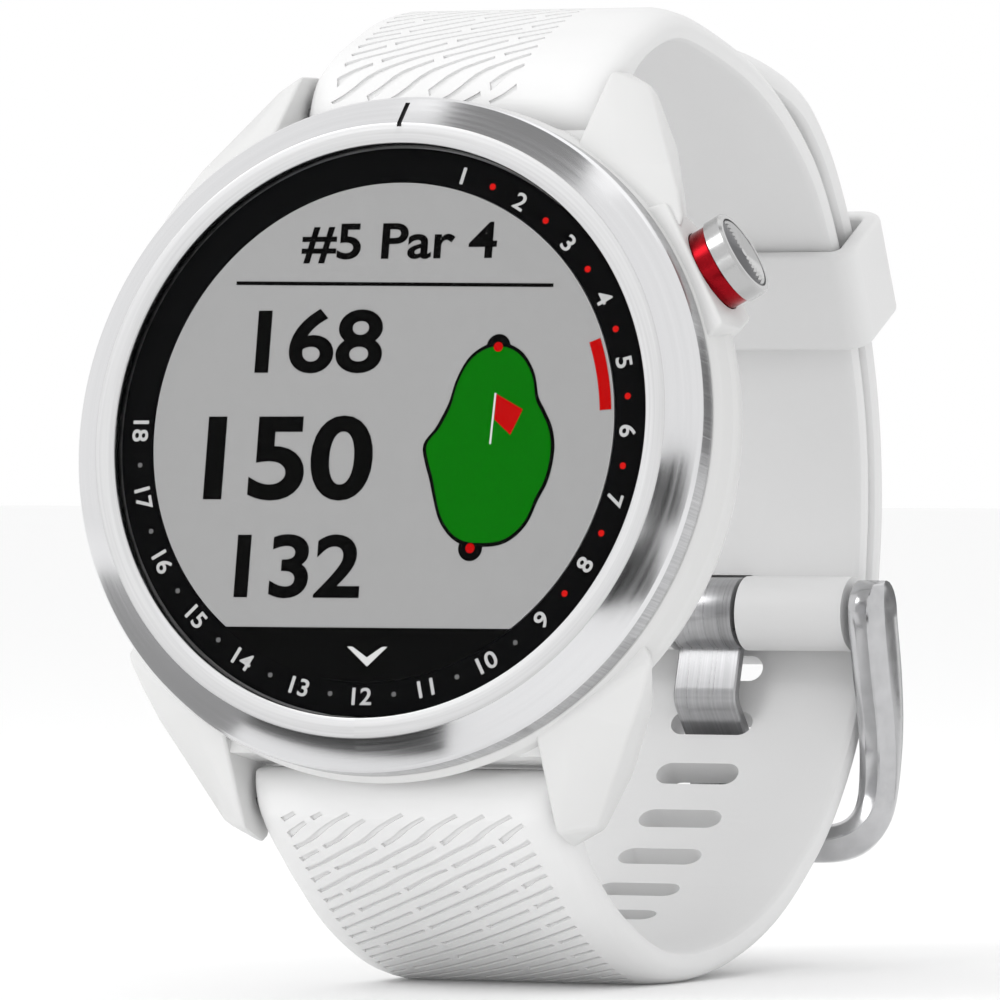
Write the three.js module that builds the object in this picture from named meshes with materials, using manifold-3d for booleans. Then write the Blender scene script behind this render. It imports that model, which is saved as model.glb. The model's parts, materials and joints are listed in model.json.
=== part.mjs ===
// Golf GPS watch standing on its closed strap, dial facing -Y and leaning back.  Millimetres, +Z up.
import * as THREE from 'three';
import { ConvexGeometry } from 'three/addons/geometries/ConvexGeometry.js';
import { mergeVertices } from 'three/addons/utils/BufferGeometryUtils.js';
import Module from 'manifold-3d';

// Whole watch
const LEAN = THREE.MathUtils.degToRad(10.02);   // dial leans back from the vertical
const ROUND = 64;                               // facets round the large turned parts

// Case stack, heights measured out of the dial
const GLASS_TOP = 0.45;
const GLASS_UNDER = -0.20;
const GLASS_RADIUS = 17.36;
const BEZEL_TOP = 0.50;
const BEZEL_BORE = 17.45;
const BEZEL_FLAT = 18.72;                       // outside of the flat ring
const BEZEL_CONE = 20.45;                       // foot of the polished cone
const BEZEL_UNDER = -2.55;
const CASE_RADIUS = 21.2;
const CAVITY_RADIUS = 16.5;
const WELL_RADIUS = 15.0;
const WELL_TOP = -7.4;
const BACK_Z = -11.1;

// Lugs and spring bars
const LUG_GAP = 10.3;                           // half the space between two lugs
const GAP_WALL = 18.8;                          // case wall behind the strap
const BAR_Y = 21.2;
const BAR_Z = -8.55;
const BAR_RADIUS = 0.9;
const BARREL_RADIUS = 2.0;

// Button at two o'clock
const BUTTON_ANGLE = THREE.MathUtils.degToRad(60);
const BUTTON_Z = -5.7;
const COLLAR_RADIUS = 2.95;
const CAP_RADIUS = 2.7;
const CAP_FACE = 23.65;
const CAP_UNDER = 22.35;

// Strap
const STRAP_HALF = 10;
const STRAP_FLAT = 7.95;                        // half width of the flat outer face
const STRAP_THICK = 2.1;
const ROOT_THICK = 3.6;
const LAP_GAP = 0.25;                           // space between the two straps where they lap
const TAIL_FROM = 0.928;                        // stretch of the upper strap that the tail lies on
const TAIL_TO = 0.368;
const TAIL_STEPS = 9;
const KEEPER_AT = 0.68;                         // where the keeper sits along the upper strap
const HOLE_PITCH = 4.15;
const HOLE_COUNT = 9;
const HOLE_WIDTH = 5.7;
const HOLE_HEIGHT = 1.8;
const TONGUE_IN_HOLE = 5;

// Buckle, centred on its hinge pin
const HINGE = new THREE.Vector2(51.0, -11.75);
const PIN_RADIUS = 0.6;
const BUCKLE_BARREL = 2.4;
const TONGUE_HALF = 2.15;
const TONGUE_SHEET = 0.8;

const wasm = await Module();
wasm.setup();
const { Manifold, Mesh: SolidMesh } = wasm;

const colours = {};
function finish(key, name, color, roughness, metalness = 0) {
  colours[key] = new THREE.MeshStandardMaterial({ name, color, roughness, metalness });
}
finish('polymer', 'white_polymer', 0xe9e9e8, 0.55);
finish('silicone', 'white_silicone', 0xe4e4e3, 0.7);
finish('steel', 'brushed_steel', 0xb9babb, 0.3, 1);
finish('glass', 'lens_glass', 0x9aa0a2, 0.05);
finish('print', 'black_print', 0x0c0c0d, 0.5);
finish('panel', 'display_face', 0xa9abaa, 0.5);
finish('red', 'red_anodised', 0xc0180c, 0.3, 1);
finish('seal', 'black_seal', 0x151516, 0.8);
finish('frame', 'black_frame', 0x242527, 0.6);
finish('board', 'board_laminate', 0x1d4a2c, 0.6);
finish('cell', 'cell_foil', 0xc8ccd0, 0.4, 0.8);
finish('gold', 'gold_plate', 0xd0a54a, 0.25, 1);

const watch = new THREE.Group();
watch.name = 'golf_gps_watch';
const head = new THREE.Group();                 // case parts: x right, y to twelve o'clock, z out of the dial
head.name = 'watch_head';
head.rotation.x = Math.PI / 2 - LEAN;
const loop = new THREE.Group();                 // strap parts, already in the upright frame
loop.name = 'strap_loop';
watch.add(head, loop);

// Closed solid from any closed triangle mesh, faces outward.
function solid(geometry) {
  const plain = geometry.clone();
  plain.deleteAttribute('normal');
  plain.deleteAttribute('uv');
  const joined = mergeVertices(plain, 1e-4);
  const vertProperties = new Float32Array(joined.attributes.position.array);
  const source = Array.from(joined.index.array);
  const kept = [];
  for (let i = 0; i < source.length; i += 3) {
    const [a, b, c] = source.slice(i, i + 3);
    if (a !== b && b !== c && c !== a) kept.push(a, b, c);
  }
  let body = new Manifold(new SolidMesh({ numProp: 3, vertProperties, triVerts: new Uint32Array(kept) }));
  if (body.volume() < 0) {
    const flipped = [];
    for (let i = 0; i < kept.length; i += 3) flipped.push(kept[i], kept[i + 2], kept[i + 1]);
    body = new Manifold(new SolidMesh({ numProp: 3, vertProperties, triVerts: new Uint32Array(flipped) }));
  }
  return body;
}

function add(name, body, material, parent = head) {
  const mesh = body.getMesh();
  const geometry = new THREE.BufferGeometry();
  geometry.setAttribute('position', new THREE.BufferAttribute(new Float32Array(mesh.vertProperties), 3));
  geometry.setIndex(new THREE.BufferAttribute(new Uint32Array(mesh.triVerts), 1));
  geometry.computeVertexNormals();
  const node = new THREE.Mesh(geometry, material.clone());
  node.name = name;
  parent.add(node);
  return node;
}

// Solid of revolution about z from (radius, z) pairs; a profile off the axis is closed on itself.
function turned(pairs, facets = ROUND) {
  const profile = pairs.map(([r, z]) => new THREE.Vector2(r, z));
  const onAxis = pairs[0][0] === 0 && pairs[pairs.length - 1][0] === 0;
  if (!onAxis) profile.push(profile[0].clone());
  return solid(new THREE.LatheGeometry(profile, facets).rotateX(Math.PI / 2));
}

function tube(inner, outer, low, high, facets = ROUND) {
  return turned([[inner, low], [outer, low], [outer, high], [inner, high]], facets);
}

// Solid cylinder about z.
function disc(radius, low, high, facets = ROUND) {
  return turned([[0, low], [radius, low], [radius, high], [0, high]], facets);
}

function block(x0, x1, y0, y1, z0, z1) {
  const box = new THREE.BoxGeometry(x1 - x0, y1 - y0, z1 - z0);
  return solid(box.translate((x0 + x1) / 2, (y0 + y1) / 2, (z0 + z1) / 2));
}

function hull(points) {
  return solid(new ConvexGeometry(points.map(([x, y, z]) => new THREE.Vector3(x, y, z))));
}

// Round rod along x between x0 and x1 at height (y, z).
function rodX(radius, x0, x1, y, z, facets = 24) {
  const rod = new THREE.CylinderGeometry(radius, radius, x1 - x0, facets);
  return solid(rod.rotateZ(Math.PI / 2).translate((x0 + x1) / 2, y, z));
}

// Moves something modelled along +z (0,0,0 on the dial axis) onto the button axis.
const buttonPlace = new THREE.Matrix4().makeBasis(
  new THREE.Vector3(Math.cos(BUTTON_ANGLE), -Math.sin(BUTTON_ANGLE), 0),
  new THREE.Vector3(0, 0, -1),
  new THREE.Vector3(Math.sin(BUTTON_ANGLE), Math.cos(BUTTON_ANGLE), 0),
).setPosition(0, 0, BUTTON_Z);

function onButton(body) {
  return body.transform(buttonPlace.toArray());
}

// ---------------------------------------------------------------- case body
// Ring wall with a lip under the bezel, a wide cavity and a narrower well for the battery.
let shell = turned([
  [CAVITY_RADIUS, -0.95], [18.05, -0.95], [18.05, BEZEL_UNDER - 0.06], [20.6, BEZEL_UNDER - 0.06],
  [20.9, -3.3], [21.05, -4.5], [CASE_RADIUS, -5.0], [CASE_RADIUS, -5.6], [20.9, -6.2], [20.0, -8.1],
  [19.3, -10.0], [18.7, -10.5], [17.3, -10.5], [17.3, -9.4], [WELL_RADIUS, -9.4],
  [WELL_RADIUS, WELL_TOP - 0.6], [CAVITY_RADIUS, WELL_TOP],
]);

// Button boss: a tapered block round the button axis.
const bossFace = 21.35;
const bossPoints = [];
for (const side of [-1, 1]) {
  bossPoints.push([side * 5.2, 2.95, 18], [side * 4.3, 2.9, bossFace], [side * 4.0, -0.4, bossFace]);
  bossPoints.push([side * 2.6, -3.3, bossFace], [side * 3.4, -3.6, 18]);
}
const boss = hull(bossPoints.map(([t, up, out]) => [t, -up, out]));
shell = shell.add(onButton(boss));

// One lug: two front facets that fall away from the bezel, an outer ridge and a square inner wall.
const lugPoints = [
  [LUG_GAP, 14.2, -3.1], [15.2, 9.4, -3.1], [LUG_GAP, 14.2, -9.3], [14.6, 9.6, -9.3],
  [LUG_GAP, 18.1, -2.9], [LUG_GAP, 23.35, -6.9], [12.95, 16.5, -2.8],
  [12.45, 22.7, -8.4], [14.1, 19.7, -6.6], [15.75, 17.0, -4.9], [16.7, 15.1, -4.1], [17.45, 13.3, -3.3],
  [LUG_GAP, 23.85, -9.6], [LUG_GAP, 23.3, -10.4], [12.1, 22.6, -10.2], [13.6, 19.3, -10.3],
  [LUG_GAP, 17.0, -10.5], [14.6, 15.2, -10.2],
];
for (const sx of [-1, 1]) {
  for (const sy of [-1, 1]) {
    shell = shell.add(hull(lugPoints.map(([x, y, z]) => [x * sx, y * sy, z])));
  }
}
shell = shell.subtract(disc(CAVITY_RADIUS, WELL_TOP, -0.5).add(disc(WELL_RADIUS, -9.5, WELL_TOP + 0.1)));
shell = shell.subtract(turned([[0, -12], [17.3, -12], [17.3, -9.4], [0, -9.4]]));
for (const sy of [-1, 1]) {
  const gap = block(-LUG_GAP, LUG_GAP, GAP_WALL, 30, -12, -3.35);
  shell = shell.subtract(sy > 0 ? gap : gap.mirror([0, 1, 0]));
  shell = shell.subtract(rodX(0.46, -LUG_GAP - 1.1, LUG_GAP + 1.1, sy * BAR_Y, BAR_Z, 16));
}
// Stepped bore for the button.
const collarBore = COLLAR_RADIUS + 0.06;
const bore = turned([
  [0, 15], [1.15, 15], [1.15, 20.2], [collarBore, 20.2], [collarBore, 26], [0, 26],
], 40);
shell = shell.subtract(onButton(bore));
// Blind holes for the four back screws.
const screwSpots = [45, 135, 225, 315].map((deg) => {
  const a = THREE.MathUtils.degToRad(deg);
  return [16.2 * Math.cos(a), 16.2 * Math.sin(a)];
});
for (const [x, y] of screwSpots) shell = shell.subtract(disc(0.52, -9.6, -8.1, 16).translate([x, y, 0]));
add('case_body', shell, colours.polymer);

// ---------------------------------------------------------------- front stack
add('bezel', turned([
  [BEZEL_BORE, -0.88], [BEZEL_BORE, BEZEL_TOP - 0.1], [BEZEL_BORE + 0.1, BEZEL_TOP], [BEZEL_FLAT, BEZEL_TOP],
  [BEZEL_CONE, -0.72], [20.62, -1.0], [20.62, BEZEL_UNDER + 0.1], [20.5, BEZEL_UNDER],
  [18.12, BEZEL_UNDER], [18.12, -0.88],
]), colours.steel);
add('glass', turned([
  [0, GLASS_UNDER], [GLASS_RADIUS, GLASS_UNDER], [GLASS_RADIUS, GLASS_TOP - 0.22],
  [GLASS_RADIUS - 0.25, GLASS_TOP], [0, GLASS_TOP],
]), colours.glass);
add('numeral_ring', tube(15.25, 17.3, -0.52, -0.23), colours.print);
add('display_panel', turned([[0, -1.35], [15.18, -1.35], [15.18, -0.23], [0, -0.23]]), colours.panel);
add('glass_gasket', tube(16.55, 17.3, -0.91, -0.56, 48), colours.seal);
add('display_frame', turned([
  [0, -2.55], [15.85, -2.55], [15.85, -0.6], [15.3, -0.6], [15.3, -1.45], [0, -1.45],
], 60), colours.frame);
add('antenna_ring', tube(15.95, 16.4, -3.1, -1.2, 60), colours.gold);

// ---------------------------------------------------------------- electronics
const boardNotch = block(11.6, 17, 5.2, 10.4, -6, -2);
const board = disc(15.7, -4.3, -3.5, 60);
add('main_board', board.subtract(boardNotch), colours.board);
add('shield_can', block(-6.5, 4.5, -5.5, 6.5, -3.46, -2.65), colours.cell);
const cellShape = new THREE.Shape();
cellShape.absarc(8.0, 0.7, 1.5, 0, Math.PI / 2);
cellShape.absarc(-8.0, 0.7, 1.5, Math.PI / 2, Math.PI);
cellShape.absarc(-8.0, -9.7, 1.5, Math.PI, Math.PI * 1.5);
cellShape.absarc(8.0, -9.7, 1.5, Math.PI * 1.5, Math.PI * 2);
const cell = new THREE.ExtrudeGeometry(cellShape, { depth: 3.7, bevelEnabled: false, curveSegments: 5 });
add('battery', solid(cell.translate(0, 0, -8.6)), colours.cell);
add('vibration_motor', disc(3.9, -8.2, -5.6, 32).translate([-7.2, 7.4, 0]), colours.steel);
add('button_switch', onButton(disc(1.2, 11.9, 14.28, 20)), colours.frame);

// ---------------------------------------------------------------- back
let cover = turned([
  [0, BACK_Z], [16.5, BACK_Z], [17.22, -10.45], [17.22, -9.46], [14.9, -9.46], [14.9, -8.95], [0, -8.95],
]);
const contactX = [-2.7, -0.9, 0.9, 2.7];
const contactY = -9.2;
cover = cover.subtract(block(-4.3, 4.3, contactY - 1.7, contactY + 1.7, -12, -8));
for (const [x, y] of screwSpots) {
  cover = cover.subtract(disc(0.6, -12, -8, 16).translate([x, y, 0]));
  cover = cover.subtract(disc(0.93, -12, -10.35, 20).translate([x, y, 0]));
}
cover = cover.subtract(tube(15.12, 15.58, -9.8, -9.0, 48));
add('back_cover', cover, colours.steel);
add('back_gasket', tube(15.16, 15.54, -9.76, -9.44, 48), colours.seal);
screwSpots.forEach(([x, y], i) => {
  let screw = disc(0.86, -10.95, -10.4, 16).add(disc(0.46, -10.5, -8.2, 16));
  screw = screw.subtract(block(-0.62, 0.62, -0.12, 0.12, -11.5, -10.7));
  add(`back_screw_${i + 1}`, screw.translate([x, y, 0]), colours.steel);
});
let socket = block(-4.22, 4.22, contactY - 1.62, contactY + 1.62, -10.8, -9.0);
for (const x of contactX) socket = socket.subtract(disc(0.44, -12, -8, 16).translate([x, contactY, 0]));
add('charging_socket', socket, colours.frame);
contactX.forEach((x, i) => {
  const pin = disc(0.38, -10.95, -8.85, 16);
  add(`charging_pin_${i + 1}`, pin.translate([x, contactY, 0]), colours.gold);
});

// ---------------------------------------------------------------- button
add('button_collar', onButton(turned([
  [1.3, 20.26], [COLLAR_RADIUS, 20.26], [COLLAR_RADIUS, 21.55], [COLLAR_RADIUS - 0.25, 21.8],
  [2.1, 21.8], [2.1, 21.1], [1.3, 21.1],
], 40)), colours.red);
add('button_cap', onButton(turned([
  [0, 14.85], [0.85, 14.85], [0.85, CAP_UNDER], [CAP_RADIUS, CAP_UNDER],
  [CAP_RADIUS, CAP_FACE - 0.2], [CAP_RADIUS - 0.2, CAP_FACE], [0, CAP_FACE],
], 40)), colours.steel);
add('button_seal', onButton(tube(0.88, 1.12, 18.3, 19.1, 24)), colours.seal);
add('button_clip', onButton(tube(0.9, 1.5, 15.75, 16.1, 24)), colours.steel);

// ---------------------------------------------------------------- spring bars
// Tube with one fixed tip, and a plunger tip with the quick-release lever that slides to +x.
function springBar(name, sy) {
  let barrel = rodX(BAR_RADIUS, -9.8, 9.4, 0, 0);
  barrel = barrel.subtract(rodX(0.5, 3.2, 12, 0, 0, 16)).subtract(block(4.6, 8.2, -0.45, 0.45, -2, 0));
  barrel = barrel.add(rodX(0.4, -LUG_GAP - 0.9, -9.7, 0, 0, 16));
  let plunger = rodX(0.42, 4.3, LUG_GAP + 0.9, 0, 0, 16);
  plunger = plunger.add(disc(0.38, -3.4, -0.1, 14).translate([7.1, 0, 0]));
  add(`spring_bar_${name}`, barrel.translate([0, sy * BAR_Y, BAR_Z]), colours.steel);
  add(`release_lever_${name}`, plunger.translate([0, sy * BAR_Y, BAR_Z]), colours.steel);
}
springBar('upper', 1);
springBar('lower', -1);

// ---------------------------------------------------------------- strap curves, upright frame, as (y, z)
function barCentre(sy) {
  const y = sy * BAR_Y * Math.sin(LEAN) - BAR_Z * Math.cos(LEAN);
  const z = sy * BAR_Y * Math.cos(LEAN) + BAR_Z * Math.sin(LEAN);
  return new THREE.Vector3(0, y, z);
}
const at = (y, z) => new THREE.Vector3(0, y, z);
const upperCurve = new THREE.CatmullRomCurve3([
  barCentre(1), at(12.45, 20.5), at(13.1, 21.25), at(14.05, 22.0), at(15.2, 22.8), at(17.0, 23.65),
  at(18.8, 24.35), at(20.95, 24.9), at(23.4, 25.05), at(28.4, 24.2), at(34.9, 22.35), at(40.0, 19.9),
  at(44.9, 16.3), at(48.4, 11.5), at(51.3, 5.5), at(52.8, 0), at(53.1, -5), at(52.35, HINGE.y),
], false, 'centripetal');

// Outward normal of a curve: to the left of travel for the upper strap, to the right for the lower one.
function frameAt(curve, u, left) {
  const place = curve.getPointAt(u);
  const along = curve.getTangentAt(u);
  const out = left ? at(-along.z, along.y) : at(along.z, -along.y);
  return { place, along, out };
}

// The tail of the lower strap follows the upper strap at a fixed distance outside it.
const lap = STRAP_THICK + LAP_GAP;
const tailPoints = [];
for (let i = 0; i <= TAIL_STEPS; i += 1) {
  const u = THREE.MathUtils.lerp(TAIL_FROM, TAIL_TO, i / TAIL_STEPS);
  const { place, out } = frameAt(upperCurve, u, true);
  tailPoints.push(place.addScaledVector(out, lap));
}
const lowerCurve = new THREE.CatmullRomCurve3([
  barCentre(-1), at(5.3, -23.4), at(5.95, -24.2), at(6.65, -25.0), at(7.4, -25.75), at(8.35, -26.75),
  at(9.4, -27.6),
  at(10.95, -28.75), at(12.5, -29.75), at(14.3, -30.7), at(17.3, -32.0), at(20.5, -32.9), at(23.6, -33.2),
  at(26.6, -33.15), at(30.6, -32.7), at(35.2, -31.6), at(39.2, -30.1), at(42.8, -28.1), at(46.2, -25.75),
  at(49.2, -22.8), at(51.6, -19.6), at(53.5, -15.8), ...tailPoints,
], false, 'centripetal');

// Rings of a rounded section along a curve, joined into one closed skin.
function skin(rings) {
  const count = rings[0].length;
  const points = rings.flat();
  const faces = [];
  for (let i = 0; i + 1 < rings.length; i += 1) {
    for (let j = 0; j < count; j += 1) {
      const a = i * count + j;
      const b = i * count + (j + 1) % count;
      faces.push(a, b, b + count, a, b + count, a + count);
    }
  }
  for (let j = 1; j + 1 < count; j += 1) {
    const last = (rings.length - 1) * count;
    faces.push(0, j + 1, j, last, last + j, last + j + 1);
  }
  const geometry = new THREE.BufferGeometry().setFromPoints(points);
  geometry.setIndex(faces);
  return solid(geometry);
}

// Band section: flat outer face, sloping margins and rounded edges, flat inner face.
function bandRing({ place, out }, thick) {
  const edge = [
    [STRAP_FLAT, 0], [9.3, 0.35], [9.83, 0.8], [STRAP_HALF, 1.25], [9.8, thick - 0.15], [9.35, thick],
  ];
  const ring = [...edge, ...edge.map(([x, depth]) => [-x, depth]).reverse()];
  return ring.map(([x, depth]) => {
    const n = thick / 2 - depth;
    return new THREE.Vector3(x, place.y + out.y * n, place.z + out.z * n);
  });
}

// Thickness falls from the root to the plain band over the first part of the strap.
function strapThick(distance) {
  const blend = THREE.MathUtils.smoothstep(distance, -1, 7.5);
  return THREE.MathUtils.lerp(ROOT_THICK, STRAP_THICK, blend);
}

function inHead(body) {
  const m = new THREE.Matrix4().makeRotationX(Math.PI / 2 - LEAN);
  return body.transform(m.toArray());
}

// Parts every strap half has: root barrel, spring-bar bore and the slot for the release lever.
function rootCuts(strap, sy) {
  const barrel = rodX(BARREL_RADIUS, -STRAP_HALF, STRAP_HALF, sy * BAR_Y, BAR_Z, 32);
  const through = rodX(BAR_RADIUS + 0.07, -12, 12, sy * BAR_Y, BAR_Z, 24);
  const slot = block(4.9, 8.4, sy * BAR_Y - 0.9, sy * BAR_Y + 0.9, -14, BAR_Z);
  return strap.add(inHead(barrel)).subtract(inHead(through)).subtract(inHead(slot));
}

// ---------------------------------------------------------------- upper strap
const upperRings = [];
const upperLength = upperCurve.getLength();
for (let i = 0; i <= 36; i += 1) {
  const u = i / 36;
  upperRings.push(bandRing(frameAt(upperCurve, u, true), strapThick(u * upperLength)));
}
let upper = rootCuts(skin(upperRings), 1);
upper = upper.add(rodX(BUCKLE_BARREL, -STRAP_HALF + 0.15, STRAP_HALF - 0.15, HINGE.x, HINGE.y, 32));
upper = upper.subtract(rodX(PIN_RADIUS + 0.1, -12, 12, HINGE.x, HINGE.y, 20));
upper = upper.subtract(block(-2.5, 2.5, HINGE.x - 4, HINGE.x + 6, HINGE.y - 6, HINGE.y + 2.45));
add('strap_upper', upper, colours.silicone, loop);

// ---------------------------------------------------------------- lower strap
const lowerRings = [];
const lowerLength = lowerCurve.getLength();
const tipRadius = STRAP_HALF;
const steps = 64;
for (let i = 0; i <= steps; i += 1) {
  const distance = lowerLength * i / steps;
  const station = frameAt(lowerCurve, i / steps, false);
  lowerRings.push(bandRing(station, strapThick(distance)));
}
let lower = rootCuts(skin(lowerRings), -1);
// Round tip: everything outside a half-round outline at the end is cut away.
const tip = frameAt(lowerCurve, 1, false);
const tipOutline = new THREE.Shape();
tipOutline.moveTo(-16, 4);
tipOutline.lineTo(-16, -tipRadius);
tipOutline.lineTo(-tipRadius, -tipRadius);
tipOutline.absarc(0, -tipRadius, tipRadius, Math.PI, 0, true);
tipOutline.lineTo(16, -tipRadius);
tipOutline.lineTo(16, 4);
const tipCutter = new THREE.ExtrudeGeometry(tipOutline, {
  depth: 12,
  bevelEnabled: false,
  curveSegments: 14,
});
tipCutter.translate(0, 0, -5);
const across = new THREE.Vector3(1, 0, 0);
const tipNormal = new THREE.Vector3().crossVectors(across, tip.along);
tipCutter.applyMatrix4(new THREE.Matrix4().makeBasis(across, tip.along, tipNormal).setPosition(tip.place));
lower = lower.subtract(solid(tipCutter));
// Adjustment holes: stadium slots square to the band, counted from the lowest one.
const firstHole = lowerCurve.getLengths(400).findIndex((_, i) => lowerCurve.getPointAt(i / 400).y > 35.25);
const holeStart = lowerLength * firstHole / 400;
const holeFrames = [];
for (let i = 0; i < HOLE_COUNT; i += 1) {
  holeFrames.push(frameAt(lowerCurve, (holeStart + HOLE_PITCH * i) / lowerLength, false));
  const { place, along, out } = holeFrames[i];
  const slot = new THREE.Shape();
  const reach = (HOLE_WIDTH - HOLE_HEIGHT) / 2;
  slot.absarc(reach, 0, HOLE_HEIGHT / 2, -Math.PI / 2, Math.PI / 2);
  slot.absarc(-reach, 0, HOLE_HEIGHT / 2, Math.PI / 2, Math.PI * 1.5);
  const punch = new THREE.ExtrudeGeometry(slot, { depth: 4, bevelEnabled: false, curveSegments: 6 });
  punch.translate(0, 0, -2);
  punch.applyMatrix4(new THREE.Matrix4().makeBasis(
    new THREE.Vector3(1, 0, 0), along, out.clone().negate(),
  ).setPosition(place));
  lower = lower.subtract(solid(punch));
}
// Small flat where the loop stands on the table.
const FLOOR = -34.15;
lower = lower.subtract(block(-20, 20, 5, 45, FLOOR - 5, FLOOR));
add('strap_lower', lower, colours.silicone, loop);

// ---------------------------------------------------------------- keeper
const keeperSpot = frameAt(upperCurve, KEEPER_AT, true);
const keeperBand = 6.7;
const keeperWall = 1.05;
const keeperRoom = 0.25;                        // slack round the two straps
const keeperInner = {
  low: -STRAP_THICK / 2 - keeperRoom,
  high: STRAP_THICK * 1.5 + LAP_GAP + keeperRoom,
};
const keeperShape = new THREE.Shape();
const keeperHalf = 11.5;
const keeperLow = keeperInner.low - keeperWall;
const keeperHigh = keeperInner.high + keeperWall;
const bend = 1.1;
keeperShape.absarc(keeperHalf - bend, keeperLow + bend, bend, -Math.PI / 2, 0);
keeperShape.absarc(keeperHalf - bend, keeperHigh - bend, bend, 0, Math.PI / 2);
keeperShape.absarc(-keeperHalf + bend, keeperHigh - bend, bend, Math.PI / 2, Math.PI);
keeperShape.absarc(-keeperHalf + bend, keeperLow + bend, bend, Math.PI, Math.PI * 1.5);
const keeperOpening = new THREE.Path();
const openHalf = STRAP_HALF + keeperRoom;
keeperOpening.moveTo(-openHalf, keeperInner.low);
keeperOpening.lineTo(-openHalf, keeperInner.high);
keeperOpening.lineTo(openHalf, keeperInner.high);
keeperOpening.lineTo(openHalf, keeperInner.low);
keeperShape.holes.push(keeperOpening);
const keeperEase = 0.25;
const keeperGeometry = new THREE.ExtrudeGeometry(keeperShape, {
  depth: keeperBand - 2 * keeperEase,
  bevelEnabled: true,
  bevelThickness: keeperEase,
  bevelSize: keeperEase,
  bevelOffset: -keeperEase,
  bevelSegments: 1,
  curveSegments: 5,
});
keeperGeometry.translate(0, 0, -keeperBand / 2 + keeperEase);
keeperGeometry.applyMatrix4(new THREE.Matrix4().makeBasis(
  new THREE.Vector3(1, 0, 0), keeperSpot.out, keeperSpot.along,
).setPosition(keeperSpot.place));
add('strap_keeper', solid(keeperGeometry), colours.silicone, loop);

// ---------------------------------------------------------------- buckle
// The frame is a U of chamfered bar lying on a shallow curve; "down" runs from the hinge to the far bar.
const frameCurve = new THREE.CatmullRomCurve3([
  at(50.7, -9.3), at(51.0, -12), at(51.75, -15.5), at(52.1, -19), at(51.5, -22.6), at(50.2, -25.4),
  at(48.7, -27.6),
], false, 'centripetal');
const legX = 11.5;
const cornerRadius = 3.4;
const frameLength = frameCurve.getLength();
const barDistance = frameLength - 1.3;
const legTop = 0.2;
const legFoot = barDistance - cornerRadius;
const barHalf = legX - cornerRadius;
const inPlan = (x, distance) => new THREE.Vector2(x, distance);
const plan = new THREE.CurvePath();
plan.add(new THREE.LineCurve(inPlan(legX, legTop), inPlan(legX, legFoot)));
plan.add(new THREE.QuadraticBezierCurve(
  inPlan(legX, legFoot), inPlan(legX, barDistance), inPlan(barHalf, barDistance),
));
plan.add(new THREE.LineCurve(inPlan(barHalf, barDistance), inPlan(-barHalf, barDistance)));
plan.add(new THREE.QuadraticBezierCurve(
  inPlan(-barHalf, barDistance), inPlan(-legX, barDistance), inPlan(-legX, legFoot),
));
plan.add(new THREE.LineCurve(inPlan(-legX, legFoot), inPlan(-legX, legTop)));

function onFrame(x, distance, height) {
  const u = THREE.MathUtils.clamp(distance / frameLength, 0, 1);
  const { place, out } = frameAt(frameCurve, u, true);
  return new THREE.Vector3(x, place.y + out.y * height, place.z + out.z * height);
}

const frameRings = [];
const planParameters = [];
plan.curves.forEach((curve, index) => {
  const pieces = [9, 6, 3, 6, 9][index];
  for (let k = index === 0 ? 0 : 1; k <= pieces; k += 1) planParameters.push([curve, k / pieces]);
});
for (const [curve, t] of planParameters) {
  const spot = curve.getPoint(t);
  const heading = curve.getTangent(t);
  const side = new THREE.Vector2(heading.y, -heading.x);        // points to the outside of the U
  const slimming = THREE.MathUtils.smoothstep(spot.y, 5, barDistance - 1);
  const deep = THREE.MathUtils.lerp(2.9, 1.25, slimming);       // half depth on the wrist side
  const deepOut = THREE.MathUtils.lerp(1.5, 1.25, slimming);
  const section = [
    [-1.15, deepOut - 0.5], [-1.15, -deep + 0.7], [-0.4, -deep], [0.4, -deep],
    [1.1, -deep + 1.3], [1.1, deepOut - 0.9], [0.5, deepOut], [-0.6, deepOut],
  ];
  frameRings.push(section.map(([s, n]) => onFrame(spot.x + side.x * s, spot.y + side.y * s, n)));
}
let buckle = skin(frameRings);
buckle = buckle.subtract(rodX(PIN_RADIUS + 0.04, -12.1, -9, HINGE.x, HINGE.y, 20));
buckle = buckle.subtract(rodX(PIN_RADIUS + 0.04, 9, 12.1, HINGE.x, HINGE.y, 20));
add('buckle_frame', buckle, colours.steel, loop);
add('buckle_pin', rodX(PIN_RADIUS, -12.0, 12.0, HINGE.x, HINGE.y, 20), colours.steel, loop);

// Tongue: folded sheet round the pin, down through a hole of the lower strap and out over the far bar.
const tongueHole = holeFrames[TONGUE_IN_HOLE];
const tongueEntry = new THREE.Vector2(49.75, -17.3);
const tongueThrough = new THREE.Vector2(tongueHole.place.y, tongueHole.place.z);
const tongueBend = tongueThrough.clone().sub(tongueEntry).setLength(1.9).add(tongueThrough);
const tongueLine = [new THREE.Vector2(50.9, -13.9), tongueEntry, tongueBend, new THREE.Vector2(51.5, -28.1)];

// Outline of a sheet of even thickness along a bent line, mitred at the bends.
function sheetOutline(line, thickness) {
  const sides = [[], []];
  line.forEach((point, i) => {
    const before = point.clone().sub(line[Math.max(i - 1, 0)]);
    const after = line[Math.min(i + 1, line.length - 1)].clone().sub(point);
    if (i === 0) before.copy(after);
    if (i === line.length - 1) after.copy(before);
    const mean = before.normalize().clone().add(after.normalize()).normalize();
    const reach = thickness / 2 / mean.dot(after);
    sides[0].push(new THREE.Vector2(point.x - mean.y * reach, point.y + mean.x * reach));
    sides[1].unshift(new THREE.Vector2(point.x + mean.y * reach, point.y - mean.x * reach));
  });
  return new THREE.Shape([...sides[0], ...sides[1]]);
}

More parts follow.
